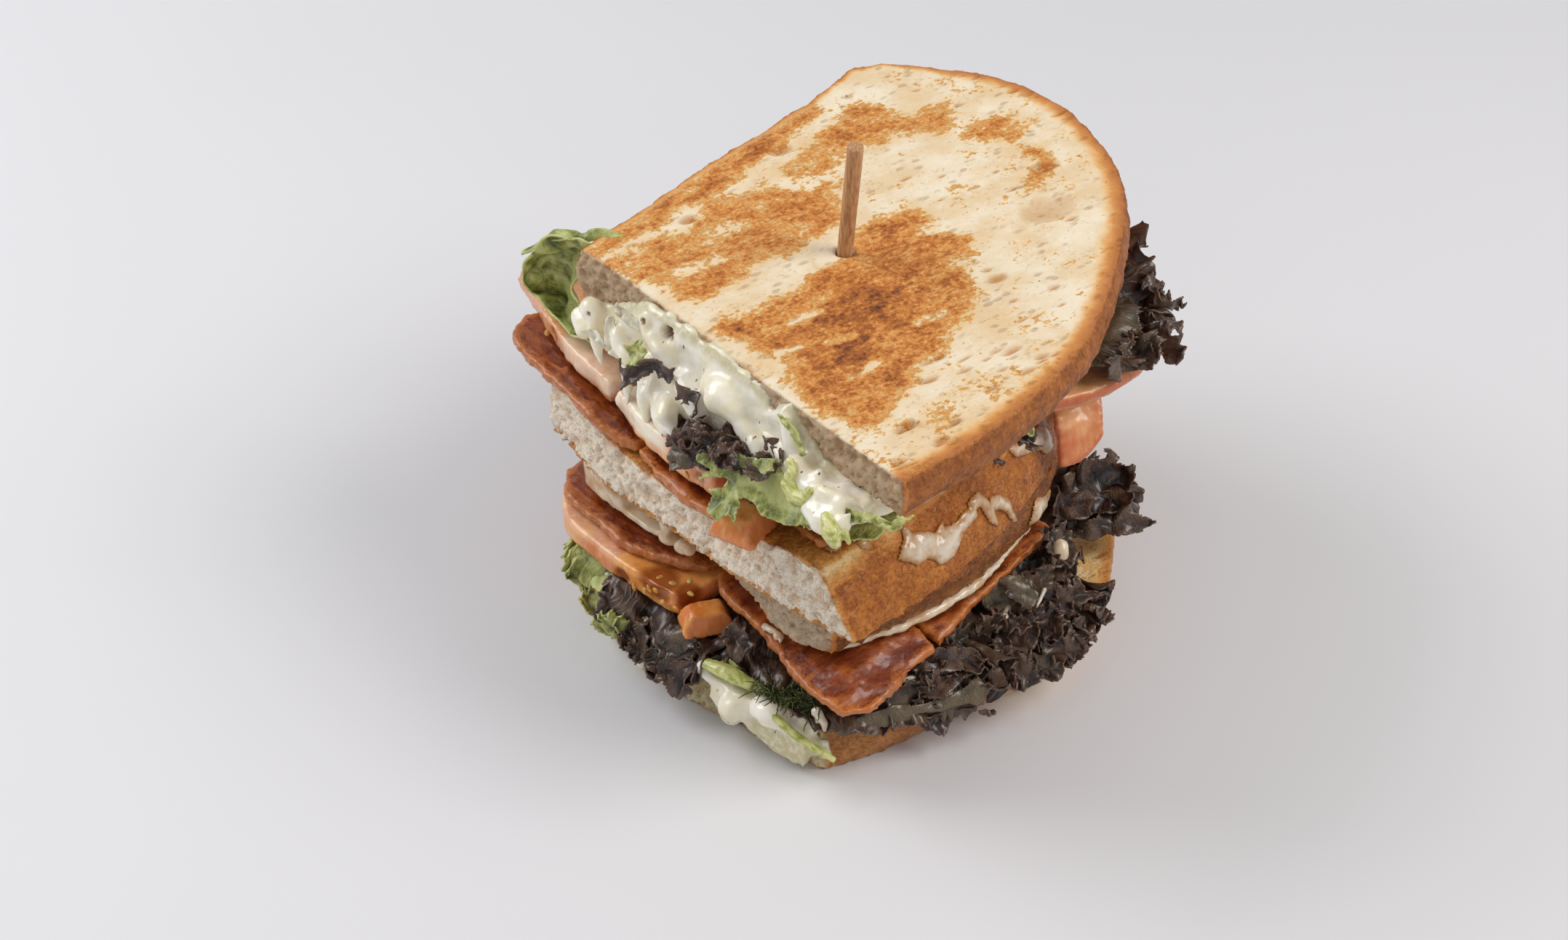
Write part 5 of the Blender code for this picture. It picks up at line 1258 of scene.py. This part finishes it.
# the long flat leaf along the bottom slice's crust, with a curl that hangs over it
makeSheets("lowerRedLeafFront", {**leafBasics, "seed": 7.4,
    "crumple": [(7.0, 0.9), (2.6, 0.4), (1.0, 0.12)], "sheets": [
    {"cells": (200, 40), "ruffles": [(4, 0.9, 0.5), (9, 0.5, 0.3)], "pale": 0.3, "edges": (
        [(83, -9.5, 15.6), (89.5, -6.5, 14.4), (95.5, 2, 13), (98, 11, 12), (100.5, 20, 10.2)],
        [(102.5, 28, 10.2), (101, 29, 12.6), (96, 30, 15.2)], [(72, 32, 16.0), (70, 16, 16.0)],
        [(72, -2, 16.0), (79, -7, 16.2)])},
    flap((97.2, 9, 12.8), (0.75, -0.25, 0.6), [
        -14.8,1.8, -12,3.1, -8.1,3.4, -3.9,3.5, -0.5,3.7, 3.5,2.9, 7.3,2.7, 10.6,2.3, 14.2,3, 17.1,4.3,
        19.6,5.9, 20.5,4.3, 21.4,2.9, 21.5,1.2, 19.7,-0.8, 18.3,-1.2, 16,-0.1, 13.5,0, 8.5,0.4, 3.8,0.4,
        -1.4,-0.3, -5.2,-0.2, -9.3,0.1, -13.4,0.5], seed=31.0, pale=0.85,
         crumple=[(8.0, 0.6), (3.0, 0.25)], waves=[(9.0, 0.4)], bend=(0, -0.6, 0)),
    flap((99.5, 20, 7.5), (0.85, -0.3, 0.4), [
        -5.7,2.3, -5.1,3.8, -2.6,3.6, 0,3.4, 3.3,3, 5.9,3.2, 7.8,1.4, 9.9,1.3, 12.2,1, 11.5,0.1,
        10.1,-0.2, 8.1,0.7, 6.6,2.2, 4.1,2.4, 2.2,1.1, 1.1,-1.1, -1.4,-1.8, -3.1,-0.5, -4.7,0.3],
         seed=32.0, bend=(0, 1.2, 1.2)),
    *frills([(95, 12, 16), (97, 22, 15), (99, 30, 14)], 5, 4.0, 55),
    flap((98, 22, 17), (0.6, -0.35, 0.7), [
        -8,5.7, -4.2,7.6, -1,8.1, 2.9,6.9, 6.9,6.8, 8.9,3.8, 7.4,1.6, 4.6,1.1, 2.8,-0.6, -0.6,-2.2,
        -4.7,-3, -6.2,-2.4, -7.2,-0.7, -8.3,3.3], seed=33.0, bend=(-2, 1, 1.0),
         crumple=[(6.0, 1.4), (2.4, 0.5)]),
]}, redLeaf, "red_leaf", "lower_red_leaf_front")

makeSheets("lowerRedLeafMiddle", {**leafBasics, "seed": 8.8, "crumple": [(8.0, 2.2), (3.2, 0.8)],
    "sheets": [
    {"cells": (220, 56), "ruffles": [(5, 2.0, 0.7), (11, 1.2, 0.35)], "fringe": 3.0, "edges": (
        [(101, 31, 12.6), (103, 38, 11.8), (105, 46, 12.6), (105.5, 55, 13.6), (102.5, 63, 15)],
        [(98, 71, 17), (92, 70, 17.8)], [(70, 66, 17.8), (71, 50, 17.8)],
        [(74, 36, 17.8), (94, 33, 17.2)])},
    flap((99, 60, 14), (0.65, -0.35, 0.67), [
        -6.6,8.5, -5.1,9.9, -1.7,10.7, -0.9,10, 0.3,11.7, 0.7,10, 2.3,9.4, 2.5,7.8, 4.2,8, 5,7.7, 4,6.8,
        5.9,5.5, 4.6,5.1, 4.6,3.8, 3.6,4, 2.9,4.9, 1.6,4.2, 0.6,3.5, -0.3,2.8, -0.9,1.7, 0.2,0.7,
        0.8,-1.4, -3,-1.7, -6.6,-0.8, -7.1,2.1, -7.5,4.6, -7.6,7], seed=34.0, bend=(-1.5, -1.5, 1.5)),
    *frills([(101, 32, 13.5), (103, 40, 13.5), (105, 48, 14), (104, 56, 15), (101, 64, 17)], 9, 4.6, 57),
    *frills([(96, 30, 17), (98, 40, 17.5), (99, 50, 18), (97, 60, 19)], 7, 4.4, 59),
    flap((102.8, 48, 7.4), (0.85, -0.3, 0.4), [
        -3.5,6.8, -2.3,5.7, -1.8,3, -2.4,1.4, -1.8,0.9, -3.4,0.4, -4.4,-0.6, -5.1,-0.5, -4.2,1.4,
        -4.6,3.3],
         seed=35.0),
]}, redLeaf, "red_leaf", "lower_red_leaf_middle")

makeSheets("lowerRedLeafUpper", {**leafBasics, "seed": 9.9, "crumple": [(8.0, 2.2), (3.2, 0.8)],
    "sheets": [
    {"cells": (200, 50), "ruffles": [(5, 1.6, 0.6), (11, 1.0, 0.35)], "edges": (
        [(96, 18, 18.4), (100, 28, 18), (101, 38, 18), (98, 49, 19.6), (95, 60, 20.6)],
        [(86, 71, 22.6), (82, 71, 21.6)], [(68, 68, 20.6), (70, 44, 20.6)],
        [(74, 20, 20.4), (90, 18, 19.4)])},
    flap((98, 47, 18.8), (0.6, -0.4, 0.7), [
        -10.5,10.9, -7.9,11.2, -5.5,11.4, -2.2,12, -0.3,11.1, 0,9.4, 1.9,7.7, 0.9,5.8, -0.4,4.3, -2.1,2.8,
        -3.9,1.3, -5.2,-0.6, -6.7,1.5, -8.5,3.2, -9.6,5.3, -10.2,8.1], seed=36.0, pale=0.9,
         crumple=[(7.0, 1.2), (2.4, 0.5)], bend=(-1, -1, 0.6)),
    flap((90, 66, 22), (0.55, -0.4, 0.73), [
        -16.2,1.7, -13.3,3.2, -9.9,5.1, -7.7,7.9, -5.7,8.6, -3.7,7.7, -2.6,6, -1.4,4.8, 0.1,3.5, -1.1,2.7,
        -0.4,1.9, -1,-1.4, -2.2,-2.5, -5.5,-2.8, -9.5,-1.9, -13.6,-2.1, -16.4,-1.6, -18.9,-2.7,
        -17.6,-0.7],
         seed=37.0, bend=(-1.5, 1, 1.2), crumple=[(5.0, 1.6), (2.2, 0.7)]),
    *frills([(92, 20, 21), (94, 32, 21), (94, 44, 22), (92, 56, 23), (86, 67, 24)], 9, 4.6, 61),
]}, redLeaf, "red_leaf", "lower_red_leaf_upper")

makeSheets("lowerRedLeafFan", {**leafBasics, "seed": 11.7,
    "crumple": [(7.0, 2.2), (3.0, 0.8), (1.1, 0.12)], "tooth": (2.4, 1.1), "sheets": [
    {"cells": (160, 40), "ruffles": [(3, 1.6, 0.6), (7, 0.8, 0.3)], "edges": (
        [(80, 80, 17), (84, 88, 18), (84, 93, 21), (79, 95, 25), (74, 93, 28)],
        [(70, 88, 29), (66, 84, 25.5)], [(59, 80, 21.5), (61, 75, 21.5)],
        [(66, 72, 20.6), (75, 76, 18)])},
    flap((80, 91, 24), (0.54, -0.42, 0.72), [
        -14.7,3.4, -12.9,5, -9.6,6.9, -7.1,6.4, -5,6.8, -4.5,7.8, -4.1,6.6, -3.3,7, -3.4,9.1, -2.8,9.8,
        -1.6,9, -1,7.8, -1.6,6.7, 0,5.8, 1.6,5.4, 2.8,6.1, 2,3.9, 1.9,1.8, 1,-0.3, 1.4,-1.9, -0.4,-4.8,
        -2.9,-6, -5.8,-5.1, -8.7,-5.9, -12.9,-5.9, -15.8,-6.6, -15.6,-0.8], seed=38.0,
         bend=(3.0, 1.5, 1.5), waves=[(11.0, 1.6), (4.0, 0.5)], curlReach=3.5),
    flap((85, 88, 19.6), (0.6, -0.5, 0.55), [
        -17.4,-0.7, -15.4,1, -12,1.4, -9.6,0.6, -6.7,1.8, -4.6,3.5, -3,4.7, -1.3,5.2, 0.4,4.7, 2,3.1,
        3.7,1.4, 6.2,-0.4, 5.8,-1.5, 2.9,-1.9, 2.5,-2.9, 1.2,-2.3, -1.2,-1.9, -2.9,-2.5, -5.4,-3.6,
        -8.7,-4, -11.6,-3.8, -13.7,-3.6, -14.5,-2.4, -13.3,-1.1], seed=39.0, bend=(-1.0, -2.5, 1.5),
         waves=[(9.0, 1.0), (4.0, 0.4)], curlReach=2.5, pale=0.1),
]}, redLeaf, "red_leaf", "lower_red_leaf_fan")


bed = {"voxel": 0.9, "smoothing": 2, "middle": (40, 45), "from": 12, "turns": (-0.6, 3.8, 0.18),
       "red": 26, "green": 9, "size": 4.6}


def makeLettuceBed(name, node, seed):
    piece, points, normals = moulded(name, shapeOf([node]), bed["voxel"], bed["smoothing"])
    side = ease(0.75, 0.3, np.abs(normals[:, 2]))
    folds = bumps(points * np.array([1, 1, 3.2]), 4.2, seed, 3)
    points += normals * (folds * (0.5 + 1.1 * side))[:, None]
    movePoints(piece, points)
    paint(piece, "inward", 0.3 + 0.2 * folds)
    paint(piece, "across", points[:, 0] / 40 + seed)
    settle(piece, redLeaf, "red_leaf", node)
    # leaves that stick out of it at the sides and the back
    points = points[(side > 0.6) & (points[:, 1] > bed["from"])]
    angles = np.arctan2(points[:, 1] - bed["middle"][1], points[:, 0] - bed["middle"][0])
    near = [np.abs(angles - a) < bed["turns"][2] / 2 for a in np.arange(*bed["turns"])]
    spots = [points[here].mean(0) for here in near if here.any()]
    for ending, leaf, slot, count, shift in (("Frills", redLeaf, "red_leaf", bed["red"], 60),
                                             ("Greens", greenLeaf, "green_leaf", bed["green"], 70)):
        makeSheets(name + ending, {**leafBasics, "seed": seed, "sheets": frills(
            spots, count, bed["size"], seed + shift)}, leaf, slot)


makeLettuceBed("upperLettuce", "upper_lettuce", 2.0)
makeLettuceBed("lowerLettuce", "lower_lettuce", 6.0)
print("lettuce made")


def stemMaterial(name, stops):
    material, tree = startMaterial(name, Subsurface_Weight=0.3, Subsurface_Scale=0.004, IOR=1.4,
                                   Coat_Weight=0.3, Coat_Roughness=0.12)
    fibres = noiseOn(tree, millimetres(tree, (0.3, 1, 1)), 0.9, 4.0)
    colour = ramp(tree, spread(tree, fibres, 0.3, 0.7), stops)
    gloss = spread(tree, noiseOn(tree, millimetres(tree), 2.0), 0.3, 0.7, 0.2, 0.35)
    return finish(material, colour, gloss, relief(tree, fibres, 0.25, 0.5))


# small things: films of sauce, chopped celery, seeds, herbs, specks of leaf

makeSheets("sauceFilms", {**leafBasics, "seed": 41.0, "carrier": butteredSlice, "swell": 0.9,
    "crumple": [], "span": 2.5, "thickness": 0.5, "tooth": (1.6, 0.5), "sheets": [
    flap((92, 10, 52), (0.75, -0.35, 0.55), [
        2,1.3, 3.1,3.8, 4.1,5.6, 3.7,8, 5.2,7.7, 6.2,6, 9.7,5.8, 11.9,4.9, 13.3,6.4, 14,6.9, 14.4,5.5,
        18.1,6.4, 19.5,7.7, 21.6,8.6, 20.9,9.4, 23.1,11, 24.3,11.2, 26,9.4, 27.8,7.6, 28.2,4.8, 28.8,3.2,
        28.3,2.7, 26.1,4.4, 25.2,6.4, 24.3,8.1, 23.1,7.9, 23.2,6, 21.5,5.1, 18.8,3.2, 17.7,1.1, 15.9,-0.9,
        13.7,-1.9, 11.8,-1.8, 10.4,-0.4, 8.9,0.2, 8,-0.4, 6.4,-0.9, 4.9,0.1]),
    flap((92, 8, 57), (0.3, -0.2, 0.9), [
        -13,4.5, -10.8,4.3, -8.7,2.5, -8.9,0.3, -10.9,-0.4, -11.9,1], swell=0.7),
    flap((79, 60, 50), (0.78, 0.4, 0.45), [
        -6.5,5, -3,4.6, 1,3.6, 5,2.6, 9.6,-0.5, 10,-3, 8.5,-5.2, 6,-4.8, 3.6,-2.2, 1.5,-0.9, -2.7,0.8,
        -5.5,2.2]),
    flap((82, 60, 36), (0.94, 0.3, -0.1), [
        -4,-1, -2,2.5, 0,3.8, 3,2, 7,0, 11,-2.5, 10,-4.5, 6,-3, 2,-2.2, -2,-2.5], carrier=lidSlice),
    flap((88, 46, 46), (0.88, 0.3, 0.37), [
        -6,5, -3,5.5, 0,4.5, 1.8,2, 2.6,-1, 3.4,-3.6, 2.6,-4.6, 1.4,-2.6, 0.2,-0.4, -1.6,1.6, -4,2.6,
        -6.4,3.2]),
    flap((92, 8, 57), (0.3, -0.2, 0.9), [
        -5,3.4, -3.2,3.6, -2.4,2, -4,1.0, -5.4,2], swell=0.5),
]}, thinSauce, "dressing")

celery = {"chunks": [
    ([(81, -7.4, 79), (80.8, -8.2, 76.6), (83.4, -8.6, 75), (86.2, -8.4, 76), (87, -7.6, 78)],
     (1.3, 1.7, 1.9, 1.7, 1.2)),
    ([(94.5, -9.6, 77), (97, -10.6, 75.4), (98.2, -10.4, 73.2)], (1.5, 2.0, 1.5)),
    ([(79.4, -6.6, 80.6), (80.8, -7, 79.4)], (1.1, 1.2)),
    ([(99, -8.6, 75.4), (100.6, -8.8, 74)], (0.9, 0.7))]}
choppedCelery = goo("choppedCelery", [], dribbles(celery["chunks"], 0.4), 0.3, 3)
settle(choppedCelery, stemMaterial("celeryFlesh", [(0.0, (168, 176, 84)), (0.5, (202, 204, 128)),
                                                (1.0, (226, 224, 170))]), "stem")

scrapBasics = {**leafBasics, "seed": 43.0, "crumple": [(3.0, 0.5)], "cell": 0.3, "span": 1.5,
               "tooth": (0.8, 0.3)}
paleShred = leafMaterial("paleShred", {
    "stops": [(0.0, (196, 186, 156)), (0.5, (224, 216, 190)), (1.0, (240, 234, 214))],
    "baseTint": (232, 226, 202), "veins": 9.0, "veinAmount": 0.2, "veinTint": (200, 196, 160),
    "rimTint": (214, 206, 180), "rough": 0.26, "coat": 0.3, "creases": 0.4,
    "paleAndSheenTint": (232, 226, 202), "ridgeHighlightTint": (240, 236, 216), "ridgeHighlightAmount": 0.5,
    "hollowShadeTint": (150, 140, 104), "hollowShadeAmount": 0.5})
makeSheets("paleShreds", {**scrapBasics, "sheets": [
    flap((9, -6.2, 76.4), (0.3, -0.7, 0.6), [
        -0.1,-1.9, 3.3,-0.6, 5.1,-1.7, 6.3,-4.1, 4.2,-3.2, 1.9,-2.4]),
    flap((15, -6.2, 74.6), (0.3, -0.7, 0.6), [
        -0.3,4.5, 0.2,5.7, 1.3,5.8, 2.5,4.3, 4.8,1.3, 5.9,0.1, 7.7,-0.8, 7.5,-2.2, 5.3,-2.3, 2.1,-2.1,
        0.4,1.7]),
    flap((20, -3.2, 80.4), (0.3, -0.7, 0.6), [
        -3.7,3.3, -3.3,4.2, -0.6,3, 2,1.9, 3.5,1.1, 5.4,1, 5.7,-0.1, 2.7,-0.4, 0.3,0.2, -2.5,1.7]),
]}, paleShred, "green_leaf")
makeSheets("greenScraps", {**scrapBasics, "sheets": [
    flap((27, -6.7, 77.2), (0.1, -0.8, 0.6), [
        -3.5,1.4, -1.8,2, -0.8,3.9, 0.6,4.5, 0.3,3.1, 2,3.4, 2.8,2.5, 3,1.3, 4.9,1.7, 4.4,0.7, 2.9,-0.4,
        1.3,-1.6, -0.4,-2.5, -0.2,-0.9, -1.4,0.2, -2.4,0.6]),
    flap((73, -4.4, 84.4), (0.3, -0.7, 0.6), [
        -1.2,2.8, 0,2.9, 2.4,1.9, 4.5,0.2, 6.2,-1.6, 7.4,-3.6, 6.5,-4.6, 4.5,-2.1, 2.7,-0.3, 0.5,1.3],
         pale=0.8),
    flap((64, -11.6, 14), (0.2, -0.85, 0.5), [
        -4,0.6, -3,3.6, -0.4,4.6, 2.4,3.4, 3.6,1, 2,-2.6, -0.6,-4.6, -1.6,-2], pale=0.3,
         bend=(-2.5, -1, 0.8)),
]}, greenLeaf, "green_leaf")

herbs = {"roots": [(73, -9.6, 16.6), (75, -9.4, 17), (77, -8.6, 17), (79, -7.4, 17.2), (81, -6.2, 17.4),
                   (83, -5, 17.6), (85, -4.4, 17.2)], "perRoot": 16, "radius": 0.24, "reach": 4.4,
         "joints": 4}
shape = bmesh.new()
for root in herbs["roots"]:
    for k in range(herbs["perRoot"]):
        place = Vector(root) + Vector([random.gauss(0, 0.8) for _ in range(3)])
        way = Vector((random.uniform(-0.9, 0.9), random.uniform(-1.0, 0.1), random.uniform(-0.8, 0.7)))
        for step in range(herbs["joints"]):
            way = (way + Vector([random.uniform(-0.45, 0.45) for _ in range(3)])).normalized()
            end = place + way * herbs["reach"] / herbs["joints"]
            middle = ((place + end) / 2 - Vector(planOrigin)) * mm
            turn = way.to_track_quat("Z", "Y").to_matrix().to_4x4()
            bmesh.ops.create_cone(shape, cap_ends=True, segments=5,
                                  radius1=herbs["radius"] * mm * (1 - 0.15 * step),
                                  radius2=herbs["radius"] * mm * (0.85 - 0.15 * step),
                                  depth=1.1 * herbs["reach"] / herbs["joints"] * mm,
                                  matrix=Matrix.Translation(middle) @ turn)
            place = end
herbPiece = newPiece("herbStrands", shape)
for mark in ("inward", "across", "pale"):
    paint(herbPiece, mark, np.full(len(herbPiece.data.vertices), 0.1))
settle(herbPiece, herbLeaf, "green_leaf")

seeds = {                                  # place, turn in degrees
    "size": (1.8, 1.15, 0.7),
    "frontPlaces": [((39.5, -11.9, 23.4), 20), ((36.2, -12.4, 21.3), 75), ((41.7, -11.7, 21.4), 40),
                    ((33, -12.9, 20.6), 100), ((37.6, -12.2, 22.8), 130), ((45.4, -11, 21.6), 10),
                    ((-6.5, -5.4, 64.6), 60), ((50, -10.4, 61.2), 110)],
    "topPlaces": [((40.5, -7.8, 23.9), 30), ((37, -8.6, 23.7), 80), ((45.3, -6.6, 23.4), 10),
                  ((42.5, -4.5, 24.2), 120)],
}
shape = bmesh.new()
stretch = Matrix.Diagonal((*[c * mm * 0.6 for c in seeds["size"]], 1))
for kind, upright in (("frontPlaces", Matrix.Rotation(math.radians(90), 4, "X")), ("topPlaces", Matrix())):
    for place, angle in seeds[kind]:
        centre = Matrix.Translation((Vector(place) - Vector(planOrigin)) * mm)
        turn = upright @ Matrix.Rotation(math.radians(angle), 4, "Z")
        bmesh.ops.create_icosphere(shape, subdivisions=2, radius=1, matrix=centre @ turn @ stretch)
seedPiece = newPiece("tomatoSeeds", shape)
seedCoat = stemMaterial("seedCoat", [(0.0, (190, 124, 44)), (0.5, (214, 156, 70)), (1.0, (236, 194, 116))])
settle(seedPiece, seedCoat, "tomato")

balls = [(97.4, 38, 13.4, 1.6), (98.6, 39.5, 12.8, 1.9),
         (99.4, 41, 12.4, 1.4), (86.5, 16, 17, 0.9), (88, 18, 17.2, 1.0), (89.4, 20, 17.2, 0.8)]
balls += dribbles([
    ([(97, 37, 12.8), (99, 40.5, 12.4), (100, 43, 12.2)], (1.4, 1.9, 1.1)),
    ([(93, 55, 22.4), (95, 51, 21)], (0.7, 0.5)),
    ([(92.2, 45, 22.2), (93.6, 42.4, 21.4), (94.8, 39, 20.4)], (0.9, 1.2, 0.6)),
    ([(87.3, -5.6, 17.2), (89.4, -5.4, 15.6), (90, -5.8, 14)], (1.3, 1.1, 0.6)),
    ([(91.5, 13, 17.8), (92.5, 17, 17.8), (93.5, 20, 17.6)], (0.7, 1.0, 0.5)),
    ([(87.4, 65, 26), (88.4, 63.8, 24), (89.6, 61.8, 22)], (1.9, 2.2, 1.0))])
drops = goo("sauceDrops", [], balls, 0.35, 4)
settle(drops, whiteSauce, "dressing")
print("small things made")


# stems

paleStem = stemMaterial("paleStem", [(0.0, (150, 164, 78)), (0.5, (186, 194, 112)),
                                     (1.0, (214, 214, 154))])
for part, node in (("lowerStem", "lower_stem"), ("lowerStemLong", "lower_stem_long")):
    piece, points, normals = moulded(part, shapeOf([node]), 0.3, 4)
    points += normals * (0.15 * bumps(points, 2.0, 3.0))[:, None]
    movePoints(piece, points)
    settle(piece, paleStem, "stem", node)


# the wooden pick

def woodMaterial():
    material, tree = startMaterial("pickWood", IOR=1.45)
    grain = noiseOn(tree, millimetres(tree, (1, 1, 0.06)), 0.5, 6.0, 0.65)
    broad = noiseOn(tree, millimetres(tree, (1, 1, 0.2)), 2.5, 3.0)
    stops = [(0.0, (150, 104, 66)), (0.45, (188, 142, 98)), (1.0, (214, 172, 128))]
    colour = layers(tree, ramp(tree, spread(tree, grain, 0.3, 0.7), stops),
                    (times(tree, broad, 0.35), (170, 118, 80)))
    gloss = spread(tree, grain, 0.3, 0.7, 0.5, 0.7)
    return finish(material, colour, gloss, relief(tree, grain, 0.15, 0.6))


pickLook = {"radius": 1.75, "top": Vector((41, 43, 117)), "entry": Vector((37, 44, 88)), "tip": 3.5,
            "sides": 40}
shape = bmesh.new()
lean = (pickLook["entry"] - pickLook["top"]) / (pickLook["top"].z - pickLook["entry"].z)
foot = pickLook["entry"] + lean * (pickLook["entry"].z - pickLook["tip"])
axis = pickLook["top"] - foot
bmesh.ops.create_cone(shape, cap_ends=True, segments=pickLook["sides"], radius1=pickLook["radius"] * mm,
                      radius2=pickLook["radius"] * mm, depth=axis.length * mm)
uprights = [e for e in shape.edges if abs(e.verts[0].co.z - e.verts[1].co.z) > 0.01]
bmesh.ops.subdivide_edges(shape, edges=uprights, cuts=60)
for vert in shape.verts:
    shake = noise.noise(Vector((vert.co.x * 600, vert.co.y * 600, vert.co.z * 90)))
    vert.co.x *= 1 + 0.05 * shake
    vert.co.y *= 1 + 0.05 * shake
rims = [e for e in shape.edges if len(e.link_faces) == 2 and e.calc_face_angle(0) > 1.0]
bmesh.ops.bevel(shape, geom=rims, offset=0.25 * mm, segments=2, affect="EDGES", profile=0.5, material=-1)
middle = ((foot + pickLook["top"]) / 2 - Vector(planOrigin)) * mm
turn = axis.to_track_quat("Z", "Y").to_matrix().to_4x4()
bmesh.ops.transform(shape, matrix=Matrix.Translation(middle) @ turn, verts=shape.verts[:])
pick = newPiece("woodenPick", shape)
settle(pick, woodMaterial(), "pick_wood", "pick")
pick.data.set_sharp_from_angle(angle=math.radians(50))
print("pick made")


# floor, light and camera

def floorMaterial():
    material, tree = startMaterial("paleFloor")
    cloud = noiseOn(tree, millimetres(tree), 120.0, 3.0)
    colour = blendColours(tree, cloud, (226, 225, 227), (220, 219, 222))
    return finish(material, colour, spread(tree, cloud, 0.3, 0.7, 0.42, 0.5))


shape = bmesh.new()
bmesh.ops.create_grid(shape, x_segments=4, y_segments=4, size=3.0)
floor = newPiece("floor", shape)
floor.data.materials.append(floorMaterial())

room = {"tint": (0.97, 0.98, 1.0, 1.0), "strength": 0.36}
world = bpy.data.worlds.new("studio")
bpy.context.scene.world = world
world.use_nodes = True
background = world.node_tree.nodes["Background"]
background.inputs["Color"].default_value = room["tint"]
background.inputs["Strength"].default_value = room["strength"]

lights = {                                 # place, aimed at the sandwich, side in metres, watts
    "key": {"place": (0.55, 0.45, 0.75), "side": 0.5, "watts": 5.7, "tint": (1.0, 0.97, 0.93)},
    "window": {"place": (-0.6, -0.35, 0.6), "side": 0.55, "watts": 4.6, "tint": (0.97, 0.98, 1.0)},
    "front": {"place": (0.45, -0.6, 0.35), "side": 0.5, "watts": 0.6, "tint": (1.0, 1.0, 1.0)},
}
for name, look in lights.items():
    lamp = bpy.data.lights.new(name, "AREA")
    lamp.size = look["side"]
    lamp.energy = look["watts"]
    lamp.color = look["tint"]
    holder = bpy.data.objects.new(name, lamp)
    holder.location = look["place"]
    holder.rotation_euler = (Vector((0, 0, 0.05)) - holder.location).to_track_quat("-Z", "Y").to_euler()
    bpy.context.scene.collection.objects.link(holder)

shot = {"place": Vector((0.425483, -0.374362, 0.477290)), "facing": Vector((-0.6079, 0.5014, -0.6157)),
        "sensor": 36.0, "focalPixels": 4400.0, "frameWidth": 2156.0}
lens = bpy.data.cameras.new("shot")
lens.sensor_width = shot["sensor"]
lens.lens = shot["focalPixels"] / shot["frameWidth"] * shot["sensor"]
lens.clip_start = 0.01
camera = bpy.data.objects.new("shot", lens)
bpy.context.scene.collection.objects.link(camera)
facing = shot["facing"].normalized()
sideways = facing.cross(up).normalized()
upright = sideways.cross(facing)
camera.matrix_world = (Matrix.Translation(shot["place"])
                       @ Matrix((sideways, upright, -facing)).transposed().to_4x4())
bpy.context.scene.camera = camera
bpy.context.scene.view_settings.view_transform = "Standard"
